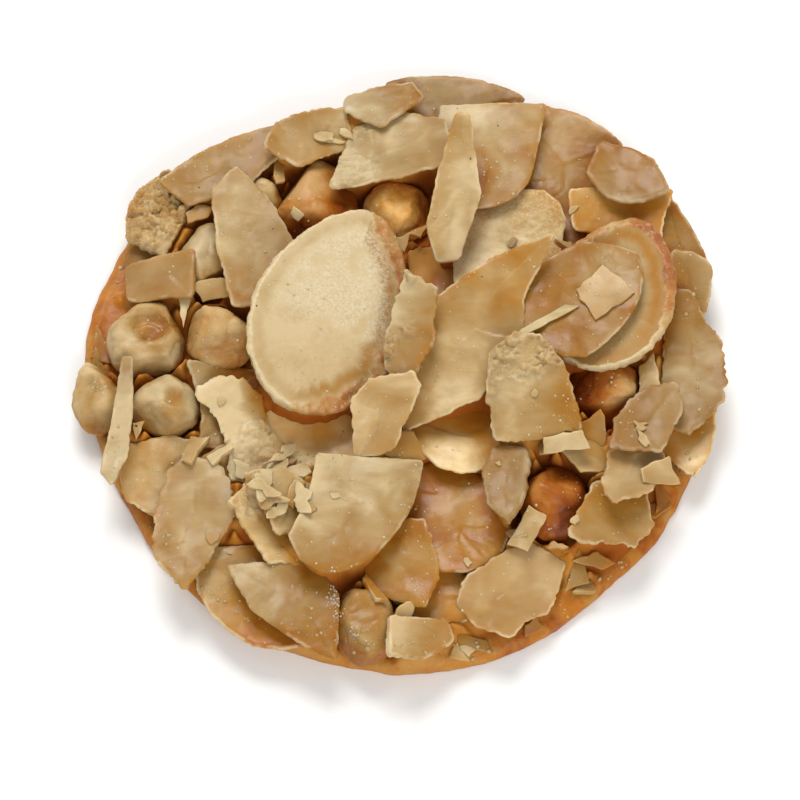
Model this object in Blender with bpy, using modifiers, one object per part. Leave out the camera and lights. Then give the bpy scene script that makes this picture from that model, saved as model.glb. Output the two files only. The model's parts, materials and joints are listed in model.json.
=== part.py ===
"""A florentine cookie: flaked almonds and pieces of nut lying in a thin base of caramel.

Metres, +Z up. The cookie lies flat: its underside is on z = 0 and the origin is the middle of
the underside. The front of the cookie is towards -Y. Lengths in the lists below are in
millimetres, and MM turns them into metres.

Every flake and nut is laid on what is already there, in the order of PILE, so the pile is built
from the base up and no two pieces touch.
"""
import math
import random
from collections import namedtuple

import bmesh
import bpy
import numpy as np
from mathutils import Matrix, Quaternion, Vector
from mathutils.bvhtree import BVHTree

MM = 0.001
COOKIE = "florentine_cookie"
SEED = 7

# The caramel base: how far its rim lies from the middle, every 15 degrees from +X round by +Y.
RIM_RADII = (
    31.2, 30.9, 31.7, 32.6, 31.9, 32.1, 32.4, 31.6, 31.0, 31.3, 31.6, 32.0,
    31.2, 30.6, 30.4, 30.6, 31.2, 30.8, 31.6, 31.5, 30.8, 30.2, 30.6, 30.8,
)
RIM_THICKNESS = 1.7
MIDDLE_THICKNESS = 1.8
RIM_ROUND = 0.8
BASE_STEPS = 48
BASE_RINGS = 6

# How the pieces lie.
GAP = 0.3
CELL = 0.25
PILE_HALF_WIDTH = 36.0
STEEPEST = 0.36
SLOPE_STEPS = 15
TILT_COST = 3.0

# How the pieces are shaped.
ARC_STEP = 2.0
EDGE_ROUND = 0.22
NUT_SEGMENTS = 10
NUT_RINGS = 7
NUT_UNEVENNESS = 0.07
HOLLOW_MIDDLE = 0.55
HALF_TAPER = 0.16
HALF_BLUNTING = 0.05
BEVEL_FROM_DEGREES = 50
SHARP_FROM_DEGREES = 35

# Colour (linear red, green, blue) and roughness of each finish.
FINISHES = {
    "caramel": ((0.42, 0.15, 0.03), 0.25),
    "almond_pale": ((0.62, 0.45, 0.25), 0.5),
    "almond_tan": ((0.50, 0.33, 0.17), 0.45),
    "almond_golden": ((0.48, 0.28, 0.10), 0.4),
    "nut_toasted": ((0.42, 0.16, 0.05), 0.35),
}

Flake = namedtuple("Flake", "name finish thickness corners curl")
Almond = namedtuple("Almond", "name finish thickness at turn length width")
Nut = namedtuple("Nut", "name finish at size turn flats hollow")


def flake(name, finish, thickness, *corners, curl=0.3):
    """A slice of almond. Its corners are (x, y) or (x, y, bow), counter-clockwise; bow is how
    far the edge to the next corner bulges out of the straight. curl is how far it is cupped."""
    return Flake(name, finish, thickness, corners, curl)


def almond_half(name, finish, thickness, at, turn, length, width):
    """Half an almond, cut face up, its pointed end towards turn."""
    return Almond(name, finish, thickness, at, turn, length, width)


def nut(name, finish, at, size, turn=0, flats=(), hollow=0.0):
    """A rounded piece of nut. flats are (compass, rise, distance) of the faces where it broke:
    the two angles that a face looks in and how far from the middle it is, as a part of 1."""
    return Nut(name, finish, at, size, turn, flats, hollow)


# From the base up.
PILE = (
    # On the caramel: the nuts that the flakes lean on.
    nut("nut_hollow_half", "almond_golden", (-25.1, 3.9), (7.8, 7.0, 3.4), turn=24, hollow=0.9),
    nut("nut_round_left", "almond_tan", (-23.3, -3.1), (6.4, 6.6, 3.4), turn=12),
    nut("nut_rim_left", "almond_golden", (-30.1, -2.4), (3.6, 7.6, 2.8), turn=4),
    nut("nut_long_left", "almond_tan", (-19.2, 12.0), (4.0, 8.8, 2.8), turn=-8),
    nut("nut_round_centre_left", "almond_tan", (-17.9, 4.0), (6.4, 6.4, 3.4), turn=-30,
        flats=((270, 10, 0.82),)),
    nut("nut_orange_back", "nut_toasted", (-8.4, 18.2), (7.4, 10.0, 4.2), turn=-4),
    nut("nut_golden_back", "almond_golden", (0.2, 18.2), (6.6, 5.0, 3.0), turn=-10),
    nut("nut_sliver_back", "almond_pale", (-13.9, 19.0), (2.8, 7.0, 2.4), turn=-4),
    nut("nut_orange_right", "nut_toasted", (20.8, -2.2), (7.4, 6.4, 4.2), turn=-20,
        flats=((300, 40, 0.8),)),
    nut("nut_orange_front", "nut_toasted", (15.3, -14.2), (5.8, 7.0, 4.0), turn=18),
    nut("nut_block_front", "almond_tan", (-3.7, -27.6), (5.4, 8.2, 3.4), turn=3,
        flats=((0, 0, 0.84), (180, 0, 0.84), (90, 5, 0.85), (270, 10, 0.85), (0, 90, 0.75))),
    # Round the rim.
    flake("flake_rim_back_left", "almond_tan", 1.5,
          (-27.0, 15.6), (-23.6, 13.8), (-21.2, 18.6), (-22.3, 22.0, 1.7)),
    flake("flake_rim_back", "almond_tan", 1.3,
          (-0.5, 32.4), (0.5, 28.0), (8.5, 27.6), (11.8, 31.0, 1.4)),
    flake("flake_wide_back_right", "almond_golden", 1.1,
          (10.5, 28.6), (12.4, 18.0), (18.0, 15.4), (20.5, 18.0), (21.8, 25.6, 0.6), (14.5, 29.8)),
    flake("flake_rim_back_right", "almond_tan", 1.2,
          (26.0, 21.0), (26.2, 13.8), (30.4, 12.2, 0.2), (29.3, 16.2, 0.3)),
    flake("flake_rim_right", "almond_tan", 1.2,
          (27.2, 5.8), (29.8, 5.6, 0.4), (30.8, 11.8, 0.3), (27.6, 12.8)),
    flake("flake_rim_right_low", "almond_pale", 1.2,
          (25.8, -6.2), (27.8, -8.8), (29.4, -10.4), (31.0, -6.8), (31.0, -3.8), (27.0, -2.8)),
    flake("flake_front_right", "almond_tan", 1.1,
          (17.4, -18.6), (22.8, -19.2), (24.2, -16.8), (23.6, -13.4), (19.4, -13.6), (17.4, -17.0)),
    flake("flake_rim_front", "almond_pale", 2.0,
          (-0.9, -31.2), (2.2, -31.0), (4.6, -29.2), (4.0, -27.6), (-0.8, -27.8)),
    flake("flake_smooth_front_left", "almond_golden", 1.6,
          (-19.5, -19.8), (-19.3, -23.6, 0.4), (-16.4, -27.6, 0.5), (-12.0, -29.2, 0.3),
          (-8.5, -28.0), (-14.0, -19.4)),
    flake("flake_left_low", "almond_tan", 1.3,
          (-27.4, -8.4), (-26.8, -12.9), (-23.4, -15.3), (-20.2, -13.0), (-20.4, -7.9), (-23.0, -7.2)),
    flake("flake_on_edge_left", "almond_pale", 2.0,
          (-27.7, 0.0), (-28.6, -6.2), (-29.5, -10.6), (-28.6, -11.8), (-27.2, -9.0), (-26.8, -4.8),
          (-26.8, 0.0)),
    flake("flake_block_left", "almond_tan", 1.6,
          (-26.2, 8.6), (-21.0, 8.2), (-20.9, 12.4), (-26.9, 11.6)),
    flake("flake_long_back_left", "almond_tan", 1.0,
          (-23.2, 20.8), (-20.6, 18.4, 0.2), (-15.6, 20.4), (-11.6, 24.8), (-12.4, 26.8, 0.2),
          (-17.0, 25.4, 0.3)),
    flake("flake_tan_left", "almond_tan", 1.1,
          (-20.8, 0.4), (-19.4, -3.0), (-19.6, -7.0), (-14.8, -7.2), (-14.4, 0.2)),
    flake("flake_under_half", "almond_golden", 1.4,
          (-12.9, -4.8), (-12.0, -7.6, 0.5), (-9.2, -9.4, 0.3), (-2.4, -8.2), (-3.2, -2.4), (-11.0, -2.4)),
    flake("flake_shaded_centre", "almond_tan", 1.1,
          (1.4, 13.2), (2.0, 7.6), (3.6, 5.2), (6.4, 11.2), (5.6, 14.4)),
    # The second layer.
    flake("flake_inner_back_left", "almond_tan", 1.0,
          (-13.0, 24.0), (-10.0, 22.2), (-5.4, 24.8), (-6.0, 28.6, 0.4), (-12.0, 26.6, 0.2)),
    flake("flake_beside_large_half", "almond_pale", 1.0,
          (-18.3, 18.6), (-17.8, 11.8), (-16.6, 6.6), (-13.2, 6.8), (-10.4, 12.0), (-13.4, 17.8),
          (-16.2, 20.9)),
    flake("flake_low_back_right", "almond_tan", 1.0,
          (17.8, 19.6), (18.2, 15.8), (25.4, 15.2), (26.6, 19.8)),
    flake("flake_crumpled_right", "almond_pale", 1.2,
          (26.6, 2.6), (26.4, -5.8), (29.0, -6.2), (31.9, -3.0, 0.4), (31.5, 3.6), (28.9, 7.8), (27.0, 7.8)),
    flake("flake_low_front", "almond_tan", 1.0,
          (-1.2, -23.2), (2.8, -26.3, 0.2), (7.8, -25.7), (8.4, -22.8), (3.0, -21.0)),
    flake("flake_long_front_left", "almond_tan", 1.2,
          (-16.3, -22.0), (-14.2, -26.2), (-10.0, -29.2), (-6.8, -31.0), (-6.6, -24.8), (-9.0, -21.4)),
    flake("flake_torn_front_left", "almond_pale", 1.1,
          (-22.6, -11.6), (-23.8, -16.2), (-24.0, -19.4, 0.3), (-21.2, -23.0), (-19.6, -21.4), (-18.4, -18.6),
          (-16.6, -16.1), (-18.0, -11.6), (-20.2, -10.6)),
    flake("flake_strips_front_left", "almond_pale", 1.4,
          (-17.0, -15.8), (-13.2, -20.6), (-10.4, -20.8), (-10.6, -17.6), (-15.4, -13.6)),
    flake("flake_broad_front", "almond_golden", 1.1,
          (0.6, -12.8), (2.4, -19.8, 0.6), (6.6, -21.2, 1.0), (10.4, -16.6, 1.5), (4.6, -9.8, 0.9)),
    flake("flake_half_round", "almond_golden", 1.2,
          (1.0, -5.2), (2.6, -8.6, 0.4), (6.2, -10.8, 0.5), (10.6, -9.0), (10.4, -4.0), (5.0, -3.4)),
    flake("flake_thick_front", "almond_tan", 1.6,
          (9.4, -15.0), (11.0, -17.0, 0.3), (12.6, -13.8, 0.2), (12.5, -10.2), (10.0, -9.8), (8.9, -12.0)),
    # The third layer.
    flake("flake_grainy", "almond_pale", 1.1,
          (6.2, 17.6), (6.2, 10.2), (11.8, 8.8, 0.9), (15.8, 14.6, 0.9), (14.2, 19.4), (9.0, 19.6)),
    flake("flake_square_back", "almond_pale", 1.0,
          (4.0, 21.8), (7.8, 18.0, 0.4), (11.2, 19.2, 0.4), (13.0, 22.8), (14.0, 29.0), (4.8, 28.8)),
    flake("flake_torn_back", "almond_pale", 1.0,
          (-6.0, 19.4), (0.0, 20.2), (4.2, 20.9), (4.0, 26.6), (0.4, 27.4), (-4.2, 26.2)),
    flake("flake_rim_back_small", "almond_golden", 1.1,
          (-4.9, 28.4), (-1.8, 26.8), (1.6, 29.4), (0.6, 31.2, 0.2), (-4.8, 30.0)),
    almond_half("almond_half_right", "almond_golden", 2.0, (21.2, 7.3), 70, 18.2, 12.4),
    flake("flake_curled_back_right", "almond_golden", 1.3,
          (19.2, 21.2), (20.6, 19.2, 0.4), (24.0, 18.6, 0.3), (26.2, 19.6), (25.0, 22.6, 0.4), (20.6, 24.4)),
    flake("flake_torn_pale", "almond_pale", 1.0,
          (-19.6, -3.0), (-17.3, -6.6), (-16.9, -11.2), (-14.2, -11.4), (-10.8, -9.2), (-13.2, -6.2),
          (-13.6, -3.2), (-15.4, -1.4), (-17.8, -1.6)),
    flake("flake_torn_small", "almond_pale", 1.3,
          (-15.2, -13.4), (-12.3, -18.2), (-9.4, -17.6), (-8.9, -14.0), (-11.2, -12.2)),
    flake("flake_golden_front", "almond_golden", 1.0,
          (-2.8, -20.4), (-2.4, -23.2), (2.4, -25.2, 0.3), (3.6, -22.6, 0.3), (2.4, -17.2), (-1.0, -17.2)),
    flake("flake_wide_front", "almond_tan", 1.0,
          (6.2, -25.2), (8.0, -27.4), (11.0, -28.1), (12.2, -26.6), (14.2, -25.4), (15.8, -20.8),
          (12.4, -19.0), (7.2, -22.6)),
    flake("flake_torn_right_lower", "almond_pale", 1.1,
          (20.4, -14.9), (21.5, -15.7), (24.6, -13.8), (25.8, -10.0), (25.4, -8.2), (21.2, -8.2)),
    flake("flake_golden_right", "almond_golden", 1.1,
          (13.2, 2.2), (15.0, 0.6, 0.3), (18.6, 0.0, 0.4), (23.0, 5.0, 0.5), (23.4, 10.4, 0.4),
          (18.4, 11.4, 0.6), (13.0, 7.0)),
    # On top.
    flake("flake_spindle", "almond_pale", 1.6,
          (4.0, 19.6), (3.1, 15.2), (4.0, 12.0), (6.0, 12.4), (7.8, 18.2), (6.8, 25.4), (5.6, 25.4)),
    almond_half("almond_half_large", "almond_pale", 2.6, (-6.9, 5.2), 69, 23.6, 14.9),
    flake("flake_egg_front", "almond_pale", 1.1,
          (-7.8, -11.2), (-8.6, -15.8), (-10.3, -19.2, 0.7), (-7.4, -22.7, 0.6), (-2.4, -20.6, 0.8),
          (1.7, -11.4)),
    flake("flake_torn_right_upper", "almond_tan", 1.2,
          (21.6, -9.2), (25.8, -9.6), (27.5, -5.2), (27.0, -2.9), (24.8, -3.4), (21.7, -6.6)),
    flake("flake_large_golden", "almond_golden", 1.2,
          (15.0, 11.4), (9.0, 9.4), (4.0, 6.0), (0.8, 4.6), (0.8, -6.6), (7.8, -3.6), (12.3, 1.3),
          (12.0, 5.4)),
    flake("flake_crumbly_right", "almond_pale", 1.3,
          (9.3, -5.1), (10.2, -8.4), (17.6, -8.2), (16.2, -2.0, 0.4), (14.0, 0.8), (11.8, 1.0), (9.6, -1.0)),
    flake("flake_crumbly_ridge", "almond_pale", 1.5,
          (0.8, 7.8), (-0.9, 2.4), (-0.9, -1.0), (1.0, -2.8), (3.0, 1.4), (3.6, 5.8)),
    flake("flake_centre_small", "almond_pale", 1.1,
          (-4.4, -5.2), (-4.0, -10.2), (-0.6, -9.4), (1.6, -4.2), (1.0, -3.0), (-2.5, -3.4)),
)


def clear_scene():
    for thing in list(bpy.data.objects):
        bpy.data.objects.remove(thing)


def finish(name):
    """The material of a finish, made once."""
    material = bpy.data.materials.get(name)
    if material is None:
        colour, roughness = FINISHES[name]
        material = bpy.data.materials.new(name)
        material.use_nodes = True
        shader = material.node_tree.nodes["Principled BSDF"]
        shader.inputs["Base Color"].default_value = (*colour, 1.0)
        shader.inputs["Roughness"].default_value = roughness
        shader.inputs["Metallic"].default_value = 0.0
    return material


def add_object(collection, name, mesh, finish_name):
    thing = bpy.data.objects.new(name, mesh)
    collection.objects.link(thing)
    mesh.materials.append(finish(finish_name))
    mesh.shade_smooth()
    mesh.set_sharp_from_angle(angle=math.radians(SHARP_FROM_DEGREES))
    return thing


def evaluated_mesh(thing):
    """A new mesh of an object with its modifiers."""
    return bpy.data.meshes.new_from_object(thing.evaluated_get(bpy.context.evaluated_depsgraph_get()))


# The base

def rim_radius(angle):
    """How far the rim lies from the middle, read from RIM_RADII with a smooth curve."""
    count = len(RIM_RADII)
    place = angle / (2 * math.pi) * count
    first = math.floor(place)
    part = place - first
    before, here, after, beyond = (RIM_RADII[(first + k) % count] for k in (-1, 0, 1, 2))
    slope_in = (after - before) / 2
    slope_out = (beyond - here) / 2
    rise = after - here
    return here + part * (slope_in + part * (3 * rise - 2 * slope_in - slope_out
                                             + part * (slope_in + slope_out - 2 * rise)))


def base_profile():
    """Half the cross-section of the base, from the middle of its top out and down to the
    middle of its underside, for a rim at a radius of 1."""
    rounding = RIM_ROUND / RIM_RADII[0]
    points = [(k / BASE_RINGS, MIDDLE_THICKNESS) for k in range(BASE_RINGS)]
    shoulder = 1 - rounding
    points = [(x * shoulder, z + (RIM_THICKNESS - z) * x ** 4) for x, z in points]
    points.append((shoulder, RIM_THICKNESS))
    points.append((1 - rounding * 0.25, RIM_THICKNESS * 0.72))
    points.append((1, RIM_THICKNESS * 0.4))
    points.append((1 - rounding * 0.4, 0))
    points.append((0.5, 0))
    points.append((0, 0))
    return points


def make_base(collection):
    """The turned base, then pushed out of round to the rim's own outline."""
    build = bmesh.new()
    corners = [build.verts.new((x, 0, z)) for x, z in base_profile()]
    for start, end in zip(corners, corners[1:]):
        build.edges.new((start, end))
    profile = bpy.data.meshes.new("base_profile")
    build.to_mesh(profile)
    build.free()
    guide = bpy.data.objects.new("base_profile", profile)
    collection.objects.link(guide)
    screw = guide.modifiers.new("turn", "SCREW")
    screw.steps = BASE_STEPS
    screw.render_steps = BASE_STEPS
    screw.use_merge_vertices = True
    screw.merge_threshold = 0.0001
    mesh = evaluated_mesh(guide)
    bpy.data.objects.remove(guide)
    build = bmesh.new()
    build.from_mesh(mesh)
    bmesh.ops.remove_doubles(build, verts=build.verts, dist=0.0001)
    for corner in build.verts:
        angle = math.atan2(corner.co.y, corner.co.x)
        reach = math.hypot(corner.co.x, corner.co.y)
        radius = rim_radius(angle) * reach * MM
        corner.co = (radius * math.cos(angle), radius * math.sin(angle), corner.co.z * MM)
    bmesh.ops.recalc_face_normals(build, faces=build.faces)
    build.to_mesh(mesh)
    build.free()
    mesh.name = "caramel_base"
    return add_object(collection, "caramel_base", mesh, "caramel")


# The flakes

def arc_points(start, end, bow):
    """Points from start up to, but without, end, on an arc that bulges to the right by bow."""
    chord = end - start
    count = max(1, round(chord.length / ARC_STEP)) if bow else max(1, round(chord.length / (2 * ARC_STEP)))
    aside = Vector((chord.y, -chord.x)).normalized()
    steps = (k / count for k in range(count))
    return [start + chord * part + aside * (4 * bow * part * (1 - part)) for part in steps]


def flake_outline(corners):
    """The outline of a flake in millimetres, arcs and all."""
    spots = [Vector(corner[:2]) for corner in corners]
    bows = [corner[2] if len(corner) > 2 else 0 for corner in corners]
    points = []
    for k, bow in enumerate(bows):
        points += arc_points(spots[k], spots[(k + 1) % len(spots)], bow)
    return points


def almond_outline(piece):
    """An almond's outline: an ellipse that narrows towards the pointed end."""
    count = round(math.pi * (piece.length + piece.width) / 2 / ARC_STEP)
    turn = math.radians(piece.turn)
    points = []
    for k in range(count):
        angle = 2 * math.pi * k / count
        along = piece.length / 2 * math.cos(angle)
        narrowing = 1 - HALF_TAPER * math.cos(angle) - HALF_BLUNTING * math.cos(2 * angle)
        across = piece.width / 2 * math.sin(angle) * narrowing
        spot = Vector((along, across))
        spot.rotate(Matrix.Rotation(turn, 2))
        points.append(spot + Vector(piece.at))
    return points


def sheet_mesh(name, outline, middle, curl):
    """An open sheet with an outline, cupped across its longer way."""
    offsets = [point - middle for point in outline]
    longest = max(offsets, key=lambda offset: offset.length)
    along = longest.normalized()
    build = bmesh.new()
    corners = []
    for offset in offsets:
        rise = curl * (offset.dot(along) / longest.length) ** 2
        corners.append(build.verts.new((offset.x * MM, offset.y * MM, rise * MM)))
    build.faces.new(corners)
    bmesh.ops.triangulate(build, faces=build.faces)
    bmesh.ops.recalc_face_normals(build, faces=build.faces)
    mesh = bpy.data.meshes.new(name)
    build.to_mesh(mesh)
    build.free()
    return mesh


def make_sheet(collection, piece, outline, curl):
    """A sheet given its thickness and a softened edge."""
    middle = sum(outline, Vector((0, 0))) / len(outline)
    mesh = sheet_mesh(piece.name, outline, middle, curl)
    thing = add_object(collection, piece.name, mesh, piece.finish)
    solidify = thing.modifiers.new("thickness", "SOLIDIFY")
    solidify.thickness = piece.thickness * MM
    solidify.offset = 0
    bevel = thing.modifiers.new("soft_edge", "BEVEL")
    bevel.width = EDGE_ROUND * MM
    bevel.segments = 1
    bevel.angle_limit = math.radians(BEVEL_FROM_DEGREES)
    return thing, middle


# The nuts

def make_nut(collection, piece, dice):
    """An uneven rounded nut, with flat faces where it broke."""
    build = bmesh.new()
    bmesh.ops.create_uvsphere(build, u_segments=NUT_SEGMENTS, v_segments=NUT_RINGS, radius=0.5)
    for corner in build.verts:
        swell = 1 + dice.uniform(-NUT_UNEVENNESS, NUT_UNEVENNESS)
        corner.co *= swell
    for compass, rise, distance in piece.flats:
        facing = Vector((math.cos(math.radians(rise)) * math.cos(math.radians(compass)),
                         math.cos(math.radians(rise)) * math.sin(math.radians(compass)),
                         math.sin(math.radians(rise))))
        everything = build.verts[:] + build.edges[:] + build.faces[:]
        cut = bmesh.ops.bisect_plane(build, geom=everything, plane_co=facing * distance / 2,
                                     plane_no=facing, clear_outer=True)
        rim = [part for part in cut["geom_cut"] if isinstance(part, bmesh.types.BMEdge)]
        bmesh.ops.edgenet_fill(build, edges=rim)
    for corner in build.verts:
        if piece.hollow and corner.co.z > 0:
            outward = min(1.0, 2 * math.hypot(corner.co.x, corner.co.y))
            level = HOLLOW_MIDDLE + (1 - HOLLOW_MIDDLE) * outward
            corner.co.z *= level - piece.hollow / 2 * (1 - outward) ** 2
    bmesh.ops.scale(build, vec=Vector(piece.size) * MM, verts=build.verts)
    bmesh.ops.rotate(build, matrix=Matrix.Rotation(math.radians(piece.turn), 3, "Z"), verts=build.verts)
    bmesh.ops.triangulate(build, faces=build.faces)
    mesh = bpy.data.meshes.new(piece.name)
    build.to_mesh(mesh)
    build.free()
    return add_object(collection, piece.name, mesh, piece.finish), Vector(piece.at)


# The pile

class Pile:
    """How high the pile stands, on a square grid over the cookie."""

    def __init__(self, base):
        self.count = round(2 * PILE_HALF_WIDTH / CELL)
        self.places = (np.arange(self.count) + 0.5) * CELL * MM - PILE_HALF_WIDTH * MM
        self.top = np.zeros((self.count, self.count))
        self.add(*self.heights(evaluated_mesh(base), Vector((0, 0)), Quaternion()), 0.0)

    def heights(self, mesh, middle, tilt):
        """The window of cells under a tilted mesh, with its underside and its top in each."""
        corners = [tilt @ corner.co + Vector((*middle, 0)) for corner in mesh.vertices]
        faces = [tuple(face.vertices) for face in mesh.polygons]
        tree = BVHTree.FromPolygons(corners, faces)
        spans = []
        for axis in (0, 1):
            values = [corner[axis] for corner in corners]
            first, last = np.searchsorted(self.places, (min(values), max(values)))
            spans.append(slice(max(0, first - 2), min(self.count, last + 2)))
        shape = (spans[0].stop - spans[0].start, spans[1].stop - spans[1].start)
        under = np.full(shape, np.inf)
        over = np.full(shape, -np.inf)
        far = 1.0
        for row, x in enumerate(self.places[spans[0]]):
            for column, y in enumerate(self.places[spans[1]]):
                hit = tree.ray_cast(Vector((x, y, -far)), Vector((0, 0, 1)))[0]
                if hit:
                    under[row, column] = hit.z
                    over[row, column] = tree.ray_cast(Vector((x, y, far)), Vector((0, 0, -1)))[0].z
        return tuple(spans), spread(under, np.minimum), spread(over, np.maximum)

    def add(self, window, under, over, lift):
        self.top[window] = np.maximum(self.top[window], over + lift)

    def lift_for(self, window, under, slope_rise=0.0):
        """How far a piece has to rise to lie clear of the pile."""
        return np.max(self.top[window] - under - slope_rise) + GAP * MM

    def resting_slope(self, window, under, middle):
        """The slope at which a piece's middle lies lowest, with level preferred a little."""
        x = (self.places[window[0]] - middle.x)[:, None]
        y = (self.places[window[1]] - middle.y)[None, :]
        best = None
        slopes = np.linspace(-STEEPEST, STEEPEST, SLOPE_STEPS)
        for along in slopes:
            for across in slopes:
                lift = self.lift_for(window, under, along * x + across * y)
                cost = lift + TILT_COST * MM * (along * along + across * across)
                if best is None or cost < best[0]:
                    best = (cost, along, across)
        return best[1:]


def spread(values, choose):
    """Each cell and its neighbours taken together, so that a piece keeps clear sideways too."""
    result = values.copy()
    for axis in (0, 1):
        padded = result
        for shift in (-1, 1):
            moved = np.roll(padded, shift, axis=axis)
            result = choose(result, moved)
    return result


def lay(thing, middle, pile, may_tilt):
    """Lays a piece on the pile at its place, leaning as it would come to rest."""
    mesh = evaluated_mesh(thing)
    middle = middle * MM
    tilt = Quaternion()
    window, under, over = pile.heights(mesh, middle, tilt)
    if may_tilt:
        along, across = pile.resting_slope(window, under, middle)
        tilt = Vector((0, 0, 1)).rotation_difference(Vector((-along, -across, 1)))
        window, under, over = pile.heights(mesh, middle, tilt)
    lift = pile.lift_for(window, under)
    pile.add(window, under, over, lift)
    thing.rotation_mode = "QUATERNION"
    thing.rotation_quaternion = tilt
    thing.location = (middle.x, middle.y, lift)
    bpy.data.meshes.remove(mesh)


def centre_on_origin(things):
    """Moves everything so that the box round the cookie stands on the origin."""
    bpy.context.view_layer.update()
    corners = [thing.matrix_world @ Vector(corner) for thing in things for corner in thing.bound_box]
    lowest = [min(corner[axis] for corner in corners) for axis in (0, 1)]
    highest = [max(corner[axis] for corner in corners) for axis in (0, 1)]
    shift = Vector([-(low + high) / 2 for low, high in zip(lowest, highest)] + [0])
    for thing in things:
        thing.location += shift


def build_cookie():
    clear_scene()
    collection = bpy.data.collections.new(COOKIE)
    bpy.context.scene.collection.children.link(collection)
    dice = random.Random(SEED)
    base = make_base(collection)
    things = [base]
    pile = Pile(base)
    for piece in PILE:
        if isinstance(piece, Nut):
            thing, middle = make_nut(collection, piece, dice)
        elif isinstance(piece, Almond):
            thing, middle = make_sheet(collection, piece, almond_outline(piece), 0.0)
        else:
            thing, middle = make_sheet(collection, piece, flake_outline(piece.corners), piece.curl)
        lay(thing, middle, pile, may_tilt=not isinstance(piece, Nut))
        things.append(thing)
    centre_on_origin(things)


build_cookie()
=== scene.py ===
"""The looks of a florentine cookie: flaked almonds, almond halves and nuts lying in caramel.

Everything is in metres and in the frame's own axes: +Z up, the front of the cookie towards -Y.
Lengths are written in millimetres and multiplied by MM. Each almond and nut takes the place of
its CAD solid: it is that solid, remeshed finely and then worn, torn and bent. Shards of almond
fill the gaps between them, caramel fills what is under them, and chips and crumbs lie on top.
"""
import itertools
import json
import math
from collections import namedtuple

import bmesh
import bpy
import numpy as np
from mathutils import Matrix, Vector
from mathutils.bvhtree import BVHTree
from mathutils.kdtree import KDTree


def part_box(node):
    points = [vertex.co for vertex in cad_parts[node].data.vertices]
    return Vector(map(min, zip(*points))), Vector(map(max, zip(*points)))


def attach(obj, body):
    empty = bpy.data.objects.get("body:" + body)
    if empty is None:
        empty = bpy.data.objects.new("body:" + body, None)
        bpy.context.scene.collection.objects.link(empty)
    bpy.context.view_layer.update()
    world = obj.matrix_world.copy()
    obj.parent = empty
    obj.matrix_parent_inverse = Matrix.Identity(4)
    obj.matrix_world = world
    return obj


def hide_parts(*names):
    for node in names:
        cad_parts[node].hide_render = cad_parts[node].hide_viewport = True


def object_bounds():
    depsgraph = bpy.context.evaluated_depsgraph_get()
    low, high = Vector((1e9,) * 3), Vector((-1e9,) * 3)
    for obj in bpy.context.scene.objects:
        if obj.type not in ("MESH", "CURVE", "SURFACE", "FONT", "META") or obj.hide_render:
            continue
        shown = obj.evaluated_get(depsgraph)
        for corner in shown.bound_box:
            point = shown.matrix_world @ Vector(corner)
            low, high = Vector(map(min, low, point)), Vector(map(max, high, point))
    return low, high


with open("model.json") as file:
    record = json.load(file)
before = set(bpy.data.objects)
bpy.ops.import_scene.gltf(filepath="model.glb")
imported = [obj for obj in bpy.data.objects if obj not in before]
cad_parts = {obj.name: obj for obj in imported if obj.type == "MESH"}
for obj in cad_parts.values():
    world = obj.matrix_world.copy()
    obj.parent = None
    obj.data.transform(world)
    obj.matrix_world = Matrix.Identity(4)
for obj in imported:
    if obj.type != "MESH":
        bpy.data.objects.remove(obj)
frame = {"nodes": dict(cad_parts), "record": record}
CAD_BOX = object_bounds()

MM = 0.001
BODY = "root"
DICE = np.random.default_rng(20)


# Noise over points, for shapes

# Large whole numbers that mix up a cell's place until it looks random
CELL_MIXERS = (73856093, 19349663, 83492791)
SEED_MIXER = 40503
STIRRERS = (1274126177, 668265263)
KEPT_BITS = 0x7FFFFFFF
# Keeps the origin away from the sides of its cell
CELL_SHIFT = 500.5


def scatter(cells, seed):
    """A fixed random number from -1 to 1 for each whole-number cell (n, 3)."""
    first, second, third = (cells[:, axis] * CELL_MIXERS[axis] for axis in range(3))
    mixed = first ^ second ^ third ^ seed * SEED_MIXER
    mixed = ((mixed ^ (mixed >> 13)) * STIRRERS[0]) & KEPT_BITS
    mixed = mixed ^ (mixed >> 16)
    mixed = (mixed * STIRRERS[1]) & KEPT_BITS
    return (mixed >> 8 & 0xFFFF) / 32767.5 - 1


def in_cells(points, size):
    """Where points lie in a grid of cells of a size in metres, and the cell that each is in."""
    spots = points / size + CELL_SHIFT
    return spots, np.floor(spots).astype(np.int64)


def eased(part):
    """0 to 1 with a soft start and a soft end."""
    return part * part * (3 - 2 * part)


def noise(points, size, seed=0):
    """Smooth noise from -1 to 1 with features of a size in metres."""
    spots, cells = in_cells(points, size)
    part = eased(spots - cells)
    total = np.zeros(len(points))
    for corner in itertools.product((0, 1), repeat=3):
        weight = np.prod(np.where(corner, part, 1 - part), axis=1)
        total += weight * scatter(cells + corner, seed)
    return total


def rough_noise(points, size, seed=0, octaves=3):
    """Noise with finer and finer detail, from about -1 to 1."""
    total = np.zeros(len(points))
    for octave in range(octaves):
        total += noise(points + octave * 0.0137, size / 1.9 ** octave, seed + octave) * 0.55 ** octave
    return total


def lumps(points, size, seed=0):
    """Rounded lumps: how far each point is from the nearest and the next nearest lump's middle,
    and a random number from -1 to 1 for that lump. Distances are in lump sizes."""
    spots, cells = in_cells(points, size)
    near = np.full(len(points), np.inf)
    next_near = near.copy()
    own = np.zeros(len(points))
    for shift in itertools.product((-1, 0, 1), repeat=3):
        other = cells + shift
        middle = other + 0.5 + 0.45 * np.stack([scatter(other, seed + axis) for axis in range(3)], 1)
        distance = np.linalg.norm(spots - middle, axis=1)
        closer = distance < near
        next_near = np.where(closer, near, np.minimum(next_near, distance))
        own = np.where(closer, scatter(other, seed + 7), own)
        near = np.where(closer, distance, near)
    return near, next_near, own


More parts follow.
